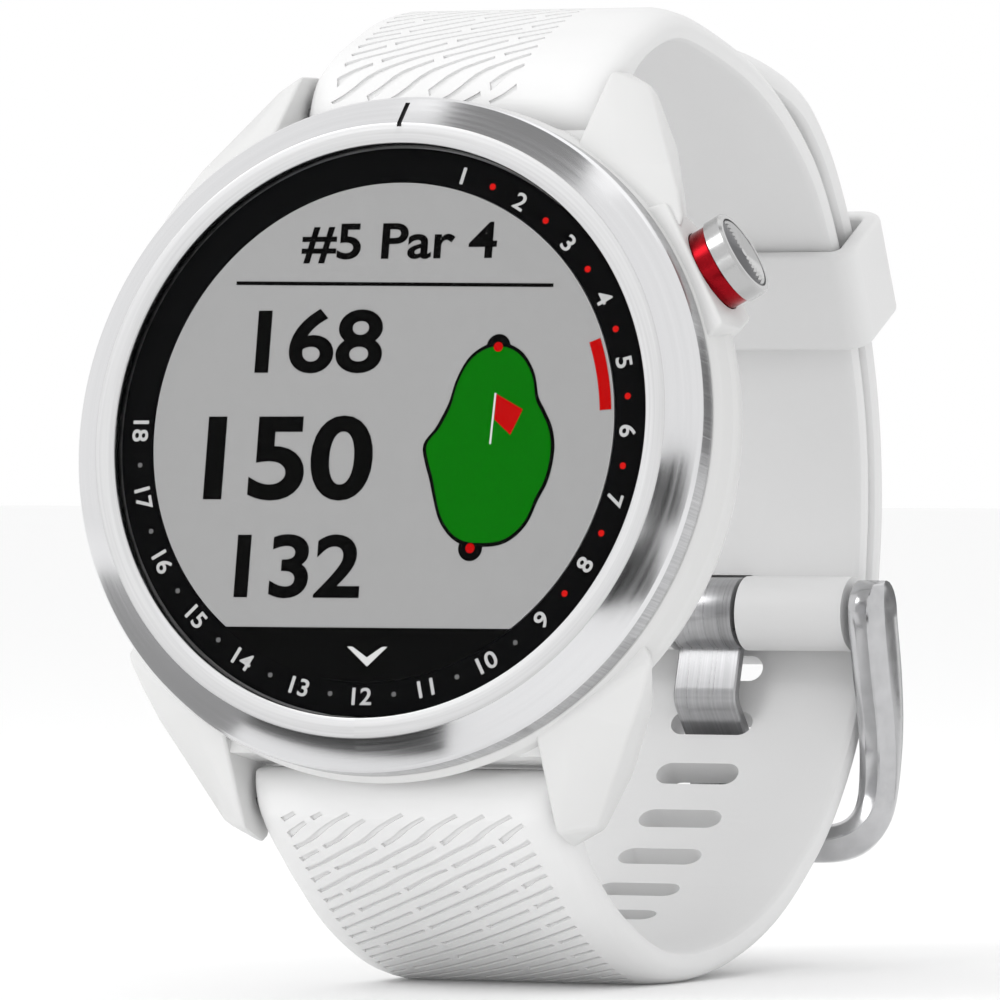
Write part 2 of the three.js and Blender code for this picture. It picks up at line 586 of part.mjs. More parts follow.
// Plate cut to a side outline in (y, z), as wide as the tongue.
function tonguePlate(shape) {
  const plate = new THREE.ExtrudeGeometry(shape, { depth: 2 * TONGUE_HALF, bevelEnabled: false });
  plate.translate(0, 0, -TONGUE_HALF);
  plate.applyMatrix4(new THREE.Matrix4().makeBasis(
    new THREE.Vector3(0, 1, 0), new THREE.Vector3(0, 0, 1), new THREE.Vector3(1, 0, 0),
  ));
  return solid(plate);
}

let tongue = rodX(BUCKLE_BARREL - 0.1, -TONGUE_HALF, TONGUE_HALF, HINGE.x, HINGE.y, 32);
tongue = tongue.add(tonguePlate(sheetOutline(tongueLine, TONGUE_SHEET)));
tongue = tongue.subtract(rodX(PIN_RADIUS + 0.06, -4, 4, HINGE.x, HINGE.y, 20));
add('buckle_tongue', tongue, colours.steel, loop);

// Stand the whole watch on z = 0 with the middle of its outline over the origin.
watch.updateMatrixWorld(true);
const outline = new THREE.Box3().setFromObject(watch, true);
const middle = outline.getCenter(new THREE.Vector3());
watch.position.set(-middle.x, -middle.y, -outline.min.z);
watch.updateMatrixWorld(true);

export default watch;
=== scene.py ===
import json
import math

import bpy
from mathutils import Matrix, Vector


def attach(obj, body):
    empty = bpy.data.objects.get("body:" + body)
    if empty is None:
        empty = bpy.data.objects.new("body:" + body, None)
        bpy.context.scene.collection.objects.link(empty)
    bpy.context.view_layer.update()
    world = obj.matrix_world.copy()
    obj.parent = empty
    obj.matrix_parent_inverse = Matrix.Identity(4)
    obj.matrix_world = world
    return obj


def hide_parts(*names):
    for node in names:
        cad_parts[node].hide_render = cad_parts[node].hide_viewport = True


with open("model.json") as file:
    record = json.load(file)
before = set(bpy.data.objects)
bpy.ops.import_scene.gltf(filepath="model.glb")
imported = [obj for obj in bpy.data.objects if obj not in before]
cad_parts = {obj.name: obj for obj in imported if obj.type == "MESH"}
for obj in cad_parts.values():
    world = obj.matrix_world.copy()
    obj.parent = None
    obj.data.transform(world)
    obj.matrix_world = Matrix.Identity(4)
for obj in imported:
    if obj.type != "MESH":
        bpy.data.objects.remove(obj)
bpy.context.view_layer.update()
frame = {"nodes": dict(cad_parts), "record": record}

# ---- Camera ----------------------------------------------------------------
# A long lens from the watch's right, level with the middle of the dial.
MM = 0.001
camera_data = bpy.data.cameras.new("view")
camera = bpy.data.objects.new("view", camera_data)
bpy.context.scene.collection.objects.link(camera)
camera_right = Vector((0.91178, 0.41069, 0.0))
camera_up = Vector((-0.00245, 0.00547, 0.99998))
camera_back = camera_right.cross(camera_up).normalized()
camera_turn = Matrix((camera_right, camera_up, camera_back)).transposed()
camera.matrix_world = Matrix.Translation(Vector((254.724, -574.979, 33.600)) * MM) @ camera_turn.to_4x4()
camera_data.lens = 363.19
camera_data.sensor_width = 36.0
camera_data.clip_start = 0.02
camera_data.clip_end = 20.0
bpy.context.scene.camera = camera
bpy.context.scene.view_settings.view_transform = "Standard"

# ---- Floor and light -------------------------------------------------------
# A white table under a white studio dome. Soft boxes light the front, and
# dark cards that only reflections see draw the bands in polished steel.
def only(piece):
    """Leaves one object selected and active, in object mode."""
    bpy.ops.object.select_all(action="DESELECT")
    piece.select_set(True)
    bpy.context.view_layer.objects.active = piece


def shader_of(name):
    """A new material, with its node tree and its main shader."""
    material = bpy.data.materials.new(name)
    material.use_nodes = True
    tree = material.node_tree
    return material, tree, tree.nodes["Principled BSDF"]


bpy.ops.object.select_all(action="DESELECT")
bpy.ops.mesh.primitive_plane_add(size=8.0, location=(0, 0, 0))
table = bpy.context.object
table.name = "table"
table_paint, _, table_shader = shader_of("table_white")
table_shader.inputs["Base Color"].default_value = (0.93, 0.93, 0.93, 1)
table_shader.inputs["Roughness"].default_value = 0.9
table_shader.inputs["Specular IOR Level"].default_value = 0.1
table_shader.inputs["Emission Color"].default_value = (1, 1, 1, 1)
table_shader.inputs["Emission Strength"].default_value = 0.02
table.data.materials.append(table_paint)

studio = bpy.data.worlds.new("studio")
studio.use_nodes = True
studio.node_tree.nodes["Background"].inputs["Color"].default_value = (1, 1, 1, 1)
studio.node_tree.nodes["Background"].inputs["Strength"].default_value = 1.0
bpy.context.scene.world = studio


def soft_box(name, place, target, size, power):
    """A square area light at a place, turned to a target."""
    lamp_data = bpy.data.lights.new(name, "AREA")
    lamp_data.shape = "RECTANGLE"
    lamp_data.size, lamp_data.size_y = size
    lamp_data.energy = power
    lamp = bpy.data.objects.new(name, lamp_data)
    bpy.context.scene.collection.objects.link(lamp)
    lamp.location = place
    lamp.rotation_euler = (Vector(target) - Vector(place)).to_track_quat("-Z", "Y").to_euler()
    return lamp


WATCH_MIDDLE = (0, 0, 0.034)
soft_box("key", (-0.35, -0.45, 0.50), WATCH_MIDDLE, (0.25, 0.25), 0.8)
front_box = soft_box("front", (-0.05, -0.60, 0.05), WATCH_MIDDLE, (0.3, 0.15), 1.0)
front_box.visible_glossy = False
soft_box("top", (0.05, 0.10, 0.60), WATCH_MIDDLE, (0.5, 0.5), 0.25)


def flag(name, place, size, turn, shade):
    """A dark card that only reflections see."""
    bpy.ops.object.select_all(action="DESELECT")
    bpy.ops.mesh.primitive_plane_add(size=1.0, location=place, rotation=[math.radians(a) for a in turn])
    card = bpy.context.object
    card.name = name
    card.scale = (size[0], size[1], 1)
    card.visible_camera = False
    card.visible_diffuse = False
    card.visible_shadow = False
    cloth, _, cloth_shader = shader_of(name + "_cloth")
    cloth_shader.inputs["Base Color"].default_value = (shade, shade, shade, 1)
    cloth_shader.inputs["Roughness"].default_value = 1.0
    cloth_shader.inputs["Specular IOR Level"].default_value = 0.0
    card.data.materials.append(cloth)


flag("flag_right", (0.34, -0.37, 0.062), (0.11, 0.12), (90, 0, 43), 0.01)
flag("flag_right_low", (0.172, -0.228, 0.0006), (0.37, 0.055), (0, 0, -47), 0.02)
flag("flag_below", (-0.014, -0.056, 0.0004), (0.034, 0.030), (0, 0, 0), 0.05)
flag("flag_left", (-0.12, -0.036, 0.0005), (0.18, 0.05), (0, 0, 0), 0.32)
flag("flag_behind", (0.2, 0.47, 0.05), (0.26, 0.22), (90, 0, -24), 0.22)
flag("flag_above", (-0.03, -0.05, 0.52), (0.24, 0.30), (0, 0, 0), 0.25)

# ---- Case body -------------------------------------------------------------
# White fibre-filled polymer, moulded in one: a ring wall, four faceted lugs and
# the block that carries the button. The edges are eased by the mould.
glass_mount = next(m for m in frame["record"]["mounts"] if m["name"] == "glass_front")
dial_out = Vector(glass_mount["axis"]).normalized()
dial_right = Vector((1, 0, 0))
dial_up = dial_out.cross(dial_right)
GLASS_TOP = 0.45
dial_middle = Vector(glass_mount["pos_m"]) - dial_out * GLASS_TOP * MM
dial_turn = Matrix((dial_right, dial_up, dial_out)).transposed().to_4x4()
dial_to_watch = Matrix.Translation(dial_middle) @ dial_turn @ Matrix.Scale(MM, 4)


def settle(piece, body, matrix=dial_to_watch, smooth=32):
    """Puts a finished piece in the watch's frame and lets it ride on a body."""
    only(piece)
    piece.data.transform(matrix)
    bpy.ops.object.shade_smooth_by_angle(angle=math.radians(smooth))
    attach(piece, body)
    return piece


def spun(name, stations, ease=0.06, steps=180, ease_steps=3):
    """Spins a profile of (radius, height) stations round z; corners eased first."""
    bpy.ops.object.select_all(action="DESELECT")
    bpy.ops.mesh.primitive_circle_add(vertices=len(stations), radius=1.0, location=(0, 0, 0))
    piece = bpy.context.object
    piece.name = name
    for vertex, (radius, height) in zip(piece.data.vertices, stations):
        vertex.co = (radius, 0, height)
    to_axis = stations[0][0] == 0 and stations[-1][0] == 0
    bpy.ops.object.mode_set(mode="EDIT")
    bpy.ops.mesh.select_all(action="DESELECT")
    if to_axis:
        bpy.ops.object.mode_set(mode="OBJECT")
        for edge in piece.data.edges:
            edge.select = set(edge.vertices) == {0, len(stations) - 1}
        bpy.ops.object.mode_set(mode="EDIT")
        bpy.ops.mesh.select_mode(type="EDGE")
        bpy.ops.mesh.delete(type="EDGE_FACE")
    bpy.ops.mesh.select_mode(type="VERT")
    bpy.ops.object.mode_set(mode="OBJECT")
    for vertex in piece.data.vertices:
        vertex.select = vertex.co.x > 1e-6
    bpy.ops.object.mode_set(mode="EDIT")
    if ease:
        bpy.ops.mesh.bevel(offset=ease, segments=ease_steps, affect="VERTICES", clamp_overlap=True)
    bpy.ops.mesh.select_all(action="SELECT")
    bpy.ops.mesh.spin(steps=steps, angle=math.tau, center=(0, 0, 0), axis=(0, 0, 1))
    bpy.ops.mesh.select_all(action="SELECT")
    bpy.ops.mesh.remove_doubles(threshold=1e-4)
    bpy.ops.mesh.normals_make_consistent(inside=False)
    bpy.ops.object.mode_set(mode="OBJECT")
    return piece


def merge(piece, tool, operation):
    """Joins a tool to a piece or cuts it away, and removes the tool."""
    only(piece)
    step = piece.modifiers.new("merge", "BOOLEAN")
    step.operation = operation
    step.solver = "EXACT"
    step.object = tool
    bpy.ops.object.modifier_apply(modifier=step.name)
    bpy.data.objects.remove(tool)
    return piece


def hulled(name, points, ease=0.3):
    """The convex block through some points, with eased edges."""
    bpy.ops.object.select_all(action="DESELECT")
    bpy.ops.mesh.primitive_circle_add(vertices=len(points), radius=1.0, location=(0, 0, 0))
    piece = bpy.context.object
    piece.name = name
    for vertex, point in zip(piece.data.vertices, points):
        vertex.co = point
    bpy.ops.object.mode_set(mode="EDIT")
    bpy.ops.mesh.select_all(action="SELECT")
    bpy.ops.mesh.convex_hull()
    bpy.ops.mesh.select_all(action="SELECT")
    bpy.ops.mesh.dissolve_limited(angle_limit=math.radians(4))
    bpy.ops.mesh.select_all(action="SELECT")
    bpy.ops.mesh.normals_make_consistent(inside=False)
    bpy.ops.mesh.bevel(offset=ease, segments=3, affect="EDGES", clamp_overlap=True)
    bpy.ops.object.mode_set(mode="OBJECT")
    return piece


def mirrored(piece, name, across_x, across_y):
    """A copy turned over the dial's middle lines, with its own mesh."""
    copy = piece.copy()
    copy.data = piece.data.copy()
    copy.name = name
    bpy.context.scene.collection.objects.link(copy)
    copy.data.transform(Matrix.Diagonal((across_x, across_y, 1, 1)))
    if across_x * across_y < 0:
        copy.data.flip_normals()
    return copy


def rod_x(name, radius, half, y, z, vertices=48):
    """A round rod along x."""
    bpy.ops.object.select_all(action="DESELECT")
    bpy.ops.mesh.primitive_cylinder_add(vertices=vertices, radius=radius, depth=2 * half, location=(0, y, z),
                                        rotation=(0, math.pi / 2, 0))
    rod = bpy.context.object
    rod.name = name
    bpy.ops.object.transform_apply(location=True, rotation=True, scale=True)
    return rod


def block(name, middle, size, lean=0.0):
    """A block round its middle, leaned about x."""
    bpy.ops.object.select_all(action="DESELECT")
    bpy.ops.mesh.primitive_cube_add(size=1.0, location=middle, scale=size)
    piece = bpy.context.object
    piece.name = name
    piece.rotation_euler = (lean, 0, 0)
    bpy.ops.object.transform_apply(location=True, rotation=True, scale=True)
    return piece


WALL = [(16.5, -0.95), (18.05, -0.95), (18.05, -2.61), (20.6, -2.61), (20.9, -3.3), (21.05, -4.5),
        (21.2, -5.0), (21.2, -5.6), (20.9, -6.2), (20.0, -8.1), (19.3, -10.0), (18.7, -10.5),
        (17.3, -10.5), (17.3, -9.4), (15.0, -9.4), (15.0, -8.0), (16.5, -7.4)]
case = spun("case", WALL, ease=0.08, steps=216)
LUG = [(10.3, 14.2, -3.1), (15.2, 9.4, -3.1), (10.3, 14.2, -9.3), (14.6, 9.6, -9.3), (10.3, 18.1, -2.9),
       (10.3, 23.35, -6.9), (12.95, 16.5, -2.8), (12.45, 22.7, -8.4), (14.1, 19.7, -6.6),
       (15.75, 17.0, -4.9), (16.7, 15.1, -4.1), (17.45, 13.3, -3.3), (10.3, 23.85, -9.6),
       (10.3, 23.3, -10.4), (12.1, 22.6, -10.2), (13.6, 19.3, -10.3),
       (10.3, 17.0, -10.5), (14.6, 15.2, -10.2)]
lug = hulled("lug", LUG, ease=0.28)
for across_x in (1, -1):
    for across_y in (1, -1):
        merge(case, mirrored(lug, "lug_copy", across_x, across_y), "UNION")
bpy.data.objects.remove(lug)

BUTTON_ANGLE = math.radians(60)
BUTTON_Z = -5.7
button_out = Vector((math.sin(BUTTON_ANGLE), math.cos(BUTTON_ANGLE), 0))
button_side = Vector((math.cos(BUTTON_ANGLE), -math.sin(BUTTON_ANGLE), 0))
button_turn = Matrix((button_side, Vector((0, 0, -1)), button_out)).transposed().to_4x4()
button_to_dial = Matrix.Translation((0, 0, BUTTON_Z)) @ button_turn
BOSS_FACE = 21.35
boss_points = []
for side in (-1, 1):
    boss_points += [(side * 5.2, -2.95, 18), (side * 4.3, -2.9, BOSS_FACE), (side * 4.0, 0.4, BOSS_FACE),
                    (side * 2.6, 3.3, BOSS_FACE), (side * 3.4, 3.6, 18)]
boss = hulled("boss", boss_points, ease=0.25)
boss.data.transform(button_to_dial)
merge(case, boss, "UNION")
BAR_Y, BAR_Z = 21.2, -8.55
for across_y in (1, -1):
    merge(case, block("gap", (0, across_y * 24.53, -7.675), (20.6, 10.94, 8.65)), "DIFFERENCE")
    merge(case, rod_x("bar_hole", 0.46, 11.4, across_y * BAR_Y, BAR_Z, vertices=24), "DIFFERENCE")
for across_y in (1, -1):
    merge(case, block("wall", (0, across_y * 18.24, -6.95), (20.9, 1.64, 5.9)), "UNION")
bore = spun("bore", [(0, 15), (1.15, 15), (1.15, 20.2), (2.62, 20.2), (2.62, 26), (0, 26)], ease=0, steps=96)
bore.data.transform(button_to_dial)
merge(case, bore, "DIFFERENCE")


def toned(tree, shader, field, dark, light, low=0.0, high=1.0):
    """Lets a field drive the colour between two shades."""
    tone = tree.nodes.new("ShaderNodeValToRGB")
    for element, place, shade in zip(tone.color_ramp.elements, (low, high), (dark, light)):
        element.position = place
        element.color = (*shade, 1)
    tree.links.new(field, tone.inputs["Fac"])
    tree.links.new(tone.outputs["Color"], shader.inputs["Base Color"])


def glossed(tree, shader, field, low, high):
    """Lets a field drive the roughness between two values."""
    gloss = tree.nodes.new("ShaderNodeMapRange")
    gloss.inputs["To Min"].default_value = low
    gloss.inputs["To Max"].default_value = high
    tree.links.new(field, gloss.inputs["Value"])
    tree.links.new(gloss.outputs["Result"], shader.inputs["Roughness"])


def bumped(tree, shader, field, strength, depth):
    """Lets a field raise a fine bump."""
    bump = tree.nodes.new("ShaderNodeBump")
    bump.inputs["Strength"].default_value = strength
    bump.inputs["Distance"].default_value = depth
    tree.links.new(field, bump.inputs["Height"])
    tree.links.new(bump.outputs["Normal"], shader.inputs["Normal"])


def noise(tree, vector, scale, detail=2.0):
    """The value of a noise over some coordinates."""
    field = tree.nodes.new("ShaderNodeTexNoise")
    field.inputs["Scale"].default_value = scale
    field.inputs["Detail"].default_value = detail
    tree.links.new(vector, field.inputs["Vector"])
    return field.outputs["Fac"]


def object_place(tree):
    """The object's own coordinates."""
    return tree.nodes.new("ShaderNodeTexCoord").outputs["Object"]


def moulded(name, shade, grain, roughness, depth):
    """Moulded plastic or rubber: faint tone drift, fine grain and uneven gloss."""
    material, tree, shader = shader_of(name)
    place = object_place(tree)
    fine = noise(tree, place, grain, 4.0)
    toned(tree, shader, noise(tree, place, 60.0, 3.0), [c * 0.965 for c in shade], shade, 0.3, 0.7)
    glossed(tree, shader, fine, roughness - 0.06, roughness + 0.06)
    bumped(tree, shader, fine, 0.25, depth)
    return material


white_polymer = moulded("white_polymer", (0.67, 0.67, 0.667), 2600.0, 0.42, 0.00002)
case.data.materials.append(white_polymer)
settle(case, "watch_head")
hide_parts("case_body")

# ---- Bezel -----------------------------------------------------------------
# Stainless steel, turned and screwed down over the glass: a brushed flat ring,
# a polished cone and a brushed side band. A short index line is cut at twelve.
BEZEL = [(17.45, -0.88), (17.45, 0.36), (17.52, 0.5), (18.72, 0.5), (20.45, -0.72), (20.62, -1.0),
         (20.62, -2.45), (20.5, -2.55), (18.12, -2.55), (18.12, -0.88)]
bezel = spun("bezel_ring", BEZEL, ease=0.05, steps=288)
CONE_LEAN = -math.radians(35.2)
merge(bezel, block("index_cut", (0, 19.63, 0.42), (0.3, 1.95, 1.3), CONE_LEAN), "DIFFERENCE")


def brushed(name, shade, roughness, along, across, depth, swing=0.10, polar=True):
    """Steel with fine brush lines, either round the dial axis or straight along x."""
    material, tree, shader = shader_of(name)
    shader.inputs["Metallic"].default_value = 1.0
    source = place = object_place(tree)
    if polar:
        turn = tree.nodes.new("ShaderNodeMapping")
        turn.inputs["Rotation"].default_value = dial_turn.to_3x3().inverted().to_euler()
        middle = dial_turn.to_3x3().inverted() @ dial_middle
        turn.inputs["Location"].default_value = -middle
        split = tree.nodes.new("ShaderNodeSeparateXYZ")
        angle = tree.nodes.new("ShaderNodeMath")
        angle.operation = "ARCTAN2"
        flat = tree.nodes.new("ShaderNodeCombineXYZ")
        radius = tree.nodes.new("ShaderNodeVectorMath")
        radius.operation = "LENGTH"
        join = tree.nodes.new("ShaderNodeCombineXYZ")
        tree.links.new(place, turn.inputs["Vector"])
        tree.links.new(turn.outputs["Vector"], split.inputs["Vector"])
        tree.links.new(split.outputs["X"], angle.inputs[0])
        tree.links.new(split.outputs["Y"], angle.inputs[1])
        tree.links.new(split.outputs["X"], flat.inputs["X"])
        tree.links.new(split.outputs["Y"], flat.inputs["Y"])
        tree.links.new(flat.outputs["Vector"], radius.inputs[0])
        tree.links.new(angle.outputs["Value"], join.inputs["X"])
        tree.links.new(radius.outputs["Value"], join.inputs["Y"])
        tree.links.new(split.outputs["Z"], join.inputs["Z"])
        source = join.outputs["Vector"]
    stretch = tree.nodes.new("ShaderNodeMapping")
    stretch.inputs["Scale"].default_value = (along, across, across)
    tree.links.new(source, stretch.inputs["Vector"])
    lines = noise(tree, stretch.outputs["Vector"], 1.0, 3.0)
    toned(tree, shader, lines, [c * (1 - swing) for c in shade], shade, 0.25, 0.75)
    glossed(tree, shader, lines, max(roughness - 0.08, 0.02), roughness + 0.08)
    bumped(tree, shader, lines, 0.3, depth)
    return material


SIDE_FINISH, TOP_FINISH, CONE_FINISH, INDEX_FINISH = range(4)
for finish in (brushed("bezel_side_brushing", (0.56, 0.56, 0.57), 0.24, 170.0, 60.0, 0.00001, swing=0.36),
               brushed("bezel_top_brushing", (0.68, 0.68, 0.685), 0.36, 1.5, 7000.0, 0.00001, swing=0.16),
               brushed("bezel_polish", (0.74, 0.74, 0.75), 0.17, 1.2, 4000.0, 0.000003, swing=0.05),
               moulded("index_paint", (0.02, 0.02, 0.02), 2000.0, 0.5, 0.00001)):
    bezel.data.materials.append(finish)
for face in bezel.data.polygons:
    radius = math.hypot(face.center.x, face.center.y)
    across = abs(face.center.x)
    face.material_index = SIDE_FINISH
    if face.center.z > 0.46 and radius > 17.5:
        face.material_index = TOP_FINISH
    elif face.center.z > -0.98 and radius > 17.5 and face.normal.z > 0.2:
        face.material_index = CONE_FINISH
    if face.center.y > 18.6 and across < 0.152 and (abs(face.normal.x) > 0.7 or across < 0.1):
        face.material_index = INDEX_FINISH
settle(bezel, "watch_head")
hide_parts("bezel")

# ---- Glass -----------------------------------------------------------------
# Toughened mineral glass with a narrow chamfer, set a hair below the bezel.
LENS = [(0, -0.12), (17.36, -0.12), (17.36, 0.2), (17.05, GLASS_TOP), (0, GLASS_TOP)]
lens = spun("lens", LENS, ease=0.03, steps=216)
lens_glass, lens_tree, lens_shader = shader_of("lens_glass")
lens_shader.inputs["Base Color"].default_value = (0.004, 0.004, 0.004, 1)
lens_shader.inputs["IOR"].default_value = 1.5
lens_shader.inputs["Alpha"].default_value = 0.03
glossed(lens_tree, lens_shader, noise(lens_tree, object_place(lens_tree), 120.0), 0.02, 0.06)
lens.data.materials.append(lens_glass)
settle(lens, "watch_head")
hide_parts("glass")

# ---- Dial ring -------------------------------------------------------------
# Black print on the underside of the glass, with the eighteen hole numbers and
# the dots between them in light grey and red ink.
def ink(name, shade, roughness=0.5):
    """Printing ink, with a faint mottle."""
    material, tree, shader = shader_of(name)
    mottle = noise(tree, object_place(tree), 1500.0)
    toned(tree, shader, mottle, [c * 0.94 for c in shade], shade)
    shader.inputs["Roughness"].default_value = roughness
    shader.inputs["Specular IOR Level"].default_value = 0.02
    return material


black_ink = ink("black_ink", (0.0015, 0.0015, 0.0017), 0.7)
grey_ink = ink("grey_ink", (0.52, 0.52, 0.52))
red_ink = ink("red_ink", (0.56, 0.008, 0.006))
ring = spun("dial_ring", [(15.25, -0.52), (17.3, -0.52), (17.3, -0.23), (15.25, -0.23)], ease=0, steps=216)
ring.data.materials.append(black_ink)
settle(ring, "watch_head")
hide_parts("numeral_ring")

PRINT_LOW = -0.225
PRINT_THICK = 0.02


def lettered(name, words, size, bold, wide, place, turn=0.0, high=PRINT_LOW):
    """Characters as a thin raised print, centred on a point of the dial."""
    bpy.ops.object.select_all(action="DESELECT")
    bpy.ops.object.text_add(location=(0, 0, 0))
    text = bpy.context.object
    text.name = name
    text.data.body = words
    text.data.align_x = "CENTER"
    text.data.align_y = "CENTER"
    text.data.size = size
    text.data.offset = bold
    text.data.extrude = PRINT_THICK / 2
    text.data.resolution_u = 6
    bpy.ops.object.convert(target="MESH")
    text = bpy.context.object
    bpy.ops.object.mode_set(mode="EDIT")
    bpy.ops.mesh.select_all(action="SELECT")
    bpy.ops.mesh.remove_doubles(threshold=1e-5)
    bpy.ops.mesh.normals_make_consistent(inside=False)
    bpy.ops.object.mode_set(mode="OBJECT")
    corners = [v.co for v in text.data.vertices]
    middle_x = (min(c.x for c in corners) + max(c.x for c in corners)) / 2
    middle_y = (min(c.y for c in corners) + max(c.y for c in corners)) / 2
    text.data.transform(Matrix.Translation((-middle_x, -middle_y, 0)))
    text.data.transform(Matrix.Diagonal((wide, 1, 1, 1)))
    text.data.transform(Matrix.Rotation(turn, 4, "Z"))
    text.data.transform(Matrix.Translation((place[0], place[1], high + PRINT_THICK / 2)))
    return text


def joined(pieces, name):
    """Several meshes as one object."""
    bpy.ops.object.select_all(action="DESELECT")
    for piece in pieces:
        piece.select_set(True)
    bpy.context.view_layer.objects.active = pieces[0]
    if len(pieces) > 1:
        bpy.ops.object.join()
    pieces[0].name = name
    return pieces[0]


def on_dial(radius, degrees):
    """A point on the dial, clockwise from twelve o'clock."""
    a = math.radians(degrees)
    return radius * math.sin(a), radius * math.cos(a)


NUMERAL_RADIUS = 16.1
numerals = []
for number in range(1, 19):
    degrees = 15 * number
    lean = -degrees if number <= 7 else 180 - degrees
    numerals.append(lettered(f"numeral_{number}", str(number), 1.45, 0.022, 1.12,
                             on_dial(NUMERAL_RADIUS, degrees), math.radians(lean)))
numerals = joined(numerals, "dial_numerals")
numerals.data.materials.append(grey_ink)
settle(numerals, "watch_head")


def dot(name, place, radius, high=PRINT_LOW):
    """A small round spot of ink."""
    bpy.ops.object.select_all(action="DESELECT")
    bpy.ops.mesh.primitive_cylinder_add(vertices=32, radius=radius, depth=PRINT_THICK,
                                        location=(place[0], place[1], high + PRINT_THICK / 2))
    spot = bpy.context.object
    spot.name = name
    bpy.ops.object.transform_apply(location=True, rotation=True, scale=True)
    return spot


red_dots = [dot(f"red_dot_{i}", on_dial(16.09, 22.5 + 15 * i), 0.2) for i in range(8)]
red_dots = joined(red_dots, "dial_red_dots")
red_dots.data.materials.append(red_ink)
settle(red_dots, "watch_head")
grey_dots = [dot(f"grey_dot_{i}", on_dial(16.09, 142.5 + 15 * i), 0.15) for i in range(9)]
grey_dots = joined(grey_dots, "dial_grey_dots")
grey_dots.data.materials.append(ink("dim_ink", (0.16, 0.16, 0.16)))
settle(grey_dots, "watch_head")

# ---- Display ---------------------------------------------------------------
# A reflective colour display, showing a hole view: the heading, three distances
# and the green with its flag.
screen = spun("screen", [(0, -1.35), (15.18, -1.35), (15.18, -0.23), (0, -0.23)], ease=0, steps=216)
screen.data.materials.append(ink("screen_grey", (0.335, 0.335, 0.335), 0.6))
settle(screen, "watch_head")
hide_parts("display_panel")

INK_HIGH = PRINT_LOW + 0.004
screen_ink = ink("screen_black", (0.0015, 0.0015, 0.0015), 0.7)
words = [lettered("heading", "#5 Par 4", 3.1, 0.055, 1.0, (0.25, 11.5), high=INK_HIGH)]
words.append(lettered("far_distance", "168", 5.1, 0.11, 1.0, (-4.55, 5.5), high=INK_HIGH))
words.append(lettered("middle_distance", "150", 6.9, 0.16, 1.0, (-6.0, -1.65), high=INK_HIGH))
words.append(lettered("near_distance", "132", 5.1, 0.11, 1.0, (-4.85, -8.25), high=INK_HIGH))
WORD_SIZES = [(12.9, 2.45), (8.4, 3.95), (11.1, 5.2), (8.3, 3.9)]
for text, (wide, tall) in zip(words, WORD_SIZES):
    low = Vector([min(v.co[i] for v in text.data.vertices) for i in range(3)])
    high = Vector([max(v.co[i] for v in text.data.vertices) for i in range(3)])
    middle = (low + high) / 2
    stretch = Matrix.Diagonal((wide / (high.x - low.x), tall / (high.y - low.y), 1, 1))
    text.data.transform(Matrix.Translation(middle) @ stretch @ Matrix.Translation(-middle))


def slab(name, outline, low, thick=PRINT_THICK):
    """A flat patch of even thickness, from its outline in the dial's plane."""
    bpy.ops.object.select_all(action="DESELECT")
    bpy.ops.mesh.primitive_circle_add(vertices=len(outline), radius=1.0, fill_type="NGON", location=(0, 0, 0))
    patch = bpy.context.object
    patch.name = name
    for vertex, (x, y) in zip(patch.data.vertices, outline):
        vertex.co = (x, y, low)
    bpy.ops.object.mode_set(mode="EDIT")
    bpy.ops.mesh.select_all(action="SELECT")
    bpy.ops.mesh.extrude_region_move(TRANSFORM_OT_translate={"value": (0, 0, thick)})
    bpy.ops.mesh.select_all(action="SELECT")
    bpy.ops.mesh.normals_make_consistent(inside=False)
    bpy.ops.object.mode_set(mode="OBJECT")
    return patch


words.append(slab("rule", [(-10.4, 8.98), (10.6, 8.72), (10.6, 8.94), (-10.4, 9.2)], INK_HIGH))
CHORD_Y = -11.95
chord_angle = math.acos(CHORD_Y / 15.24)
foot = [on_dial(15.24, math.degrees(chord_angle + (2 * math.pi - 2 * chord_angle) * i / 40))
        for i in range(41)]
words.append(slab("foot_bar", foot, PRINT_LOW, 0.012))
words = joined(words, "screen_words")
words.data.materials.append(screen_ink)
settle(words, "watch_head")

GREEN_MIDDLE = (7.1, -0.85)
GREEN_REACH = [6.1, 5.9, 5.1, 4.15, 4.0, 4.1, 4.2, 4.3, 4.5, 4.75, 5.5, 6.0, 6.05, 6.0, 5.4, 4.6, 4.15,
               4.1, 4.15, 3.6, 3.5, 3.75, 4.6, 5.6]


def blob(swell):
    """The outline of the green, a smooth closed curve through its reaches."""
    count = len(GREEN_REACH)
    outline = []
    for i in range(count * 4):
        k, t = divmod(i, 4)
        t /= 4
        a, b, c, d = (GREEN_REACH[(k + j) % count] for j in (-1, 0, 1, 2))
        reach = 0.5 * (2 * b + (c - a) * t + (2 * a - 5 * b + 4 * c - d) * t ** 2
                       + (3 * b - a - 3 * c + d) * t ** 3)
        angle = math.tau * i / (count * 4)
        outline.append((GREEN_MIDDLE[0] + (reach + swell) * math.sin(angle),
                        GREEN_MIDDLE[1] + (reach + swell) * math.cos(angle)))
    return outline


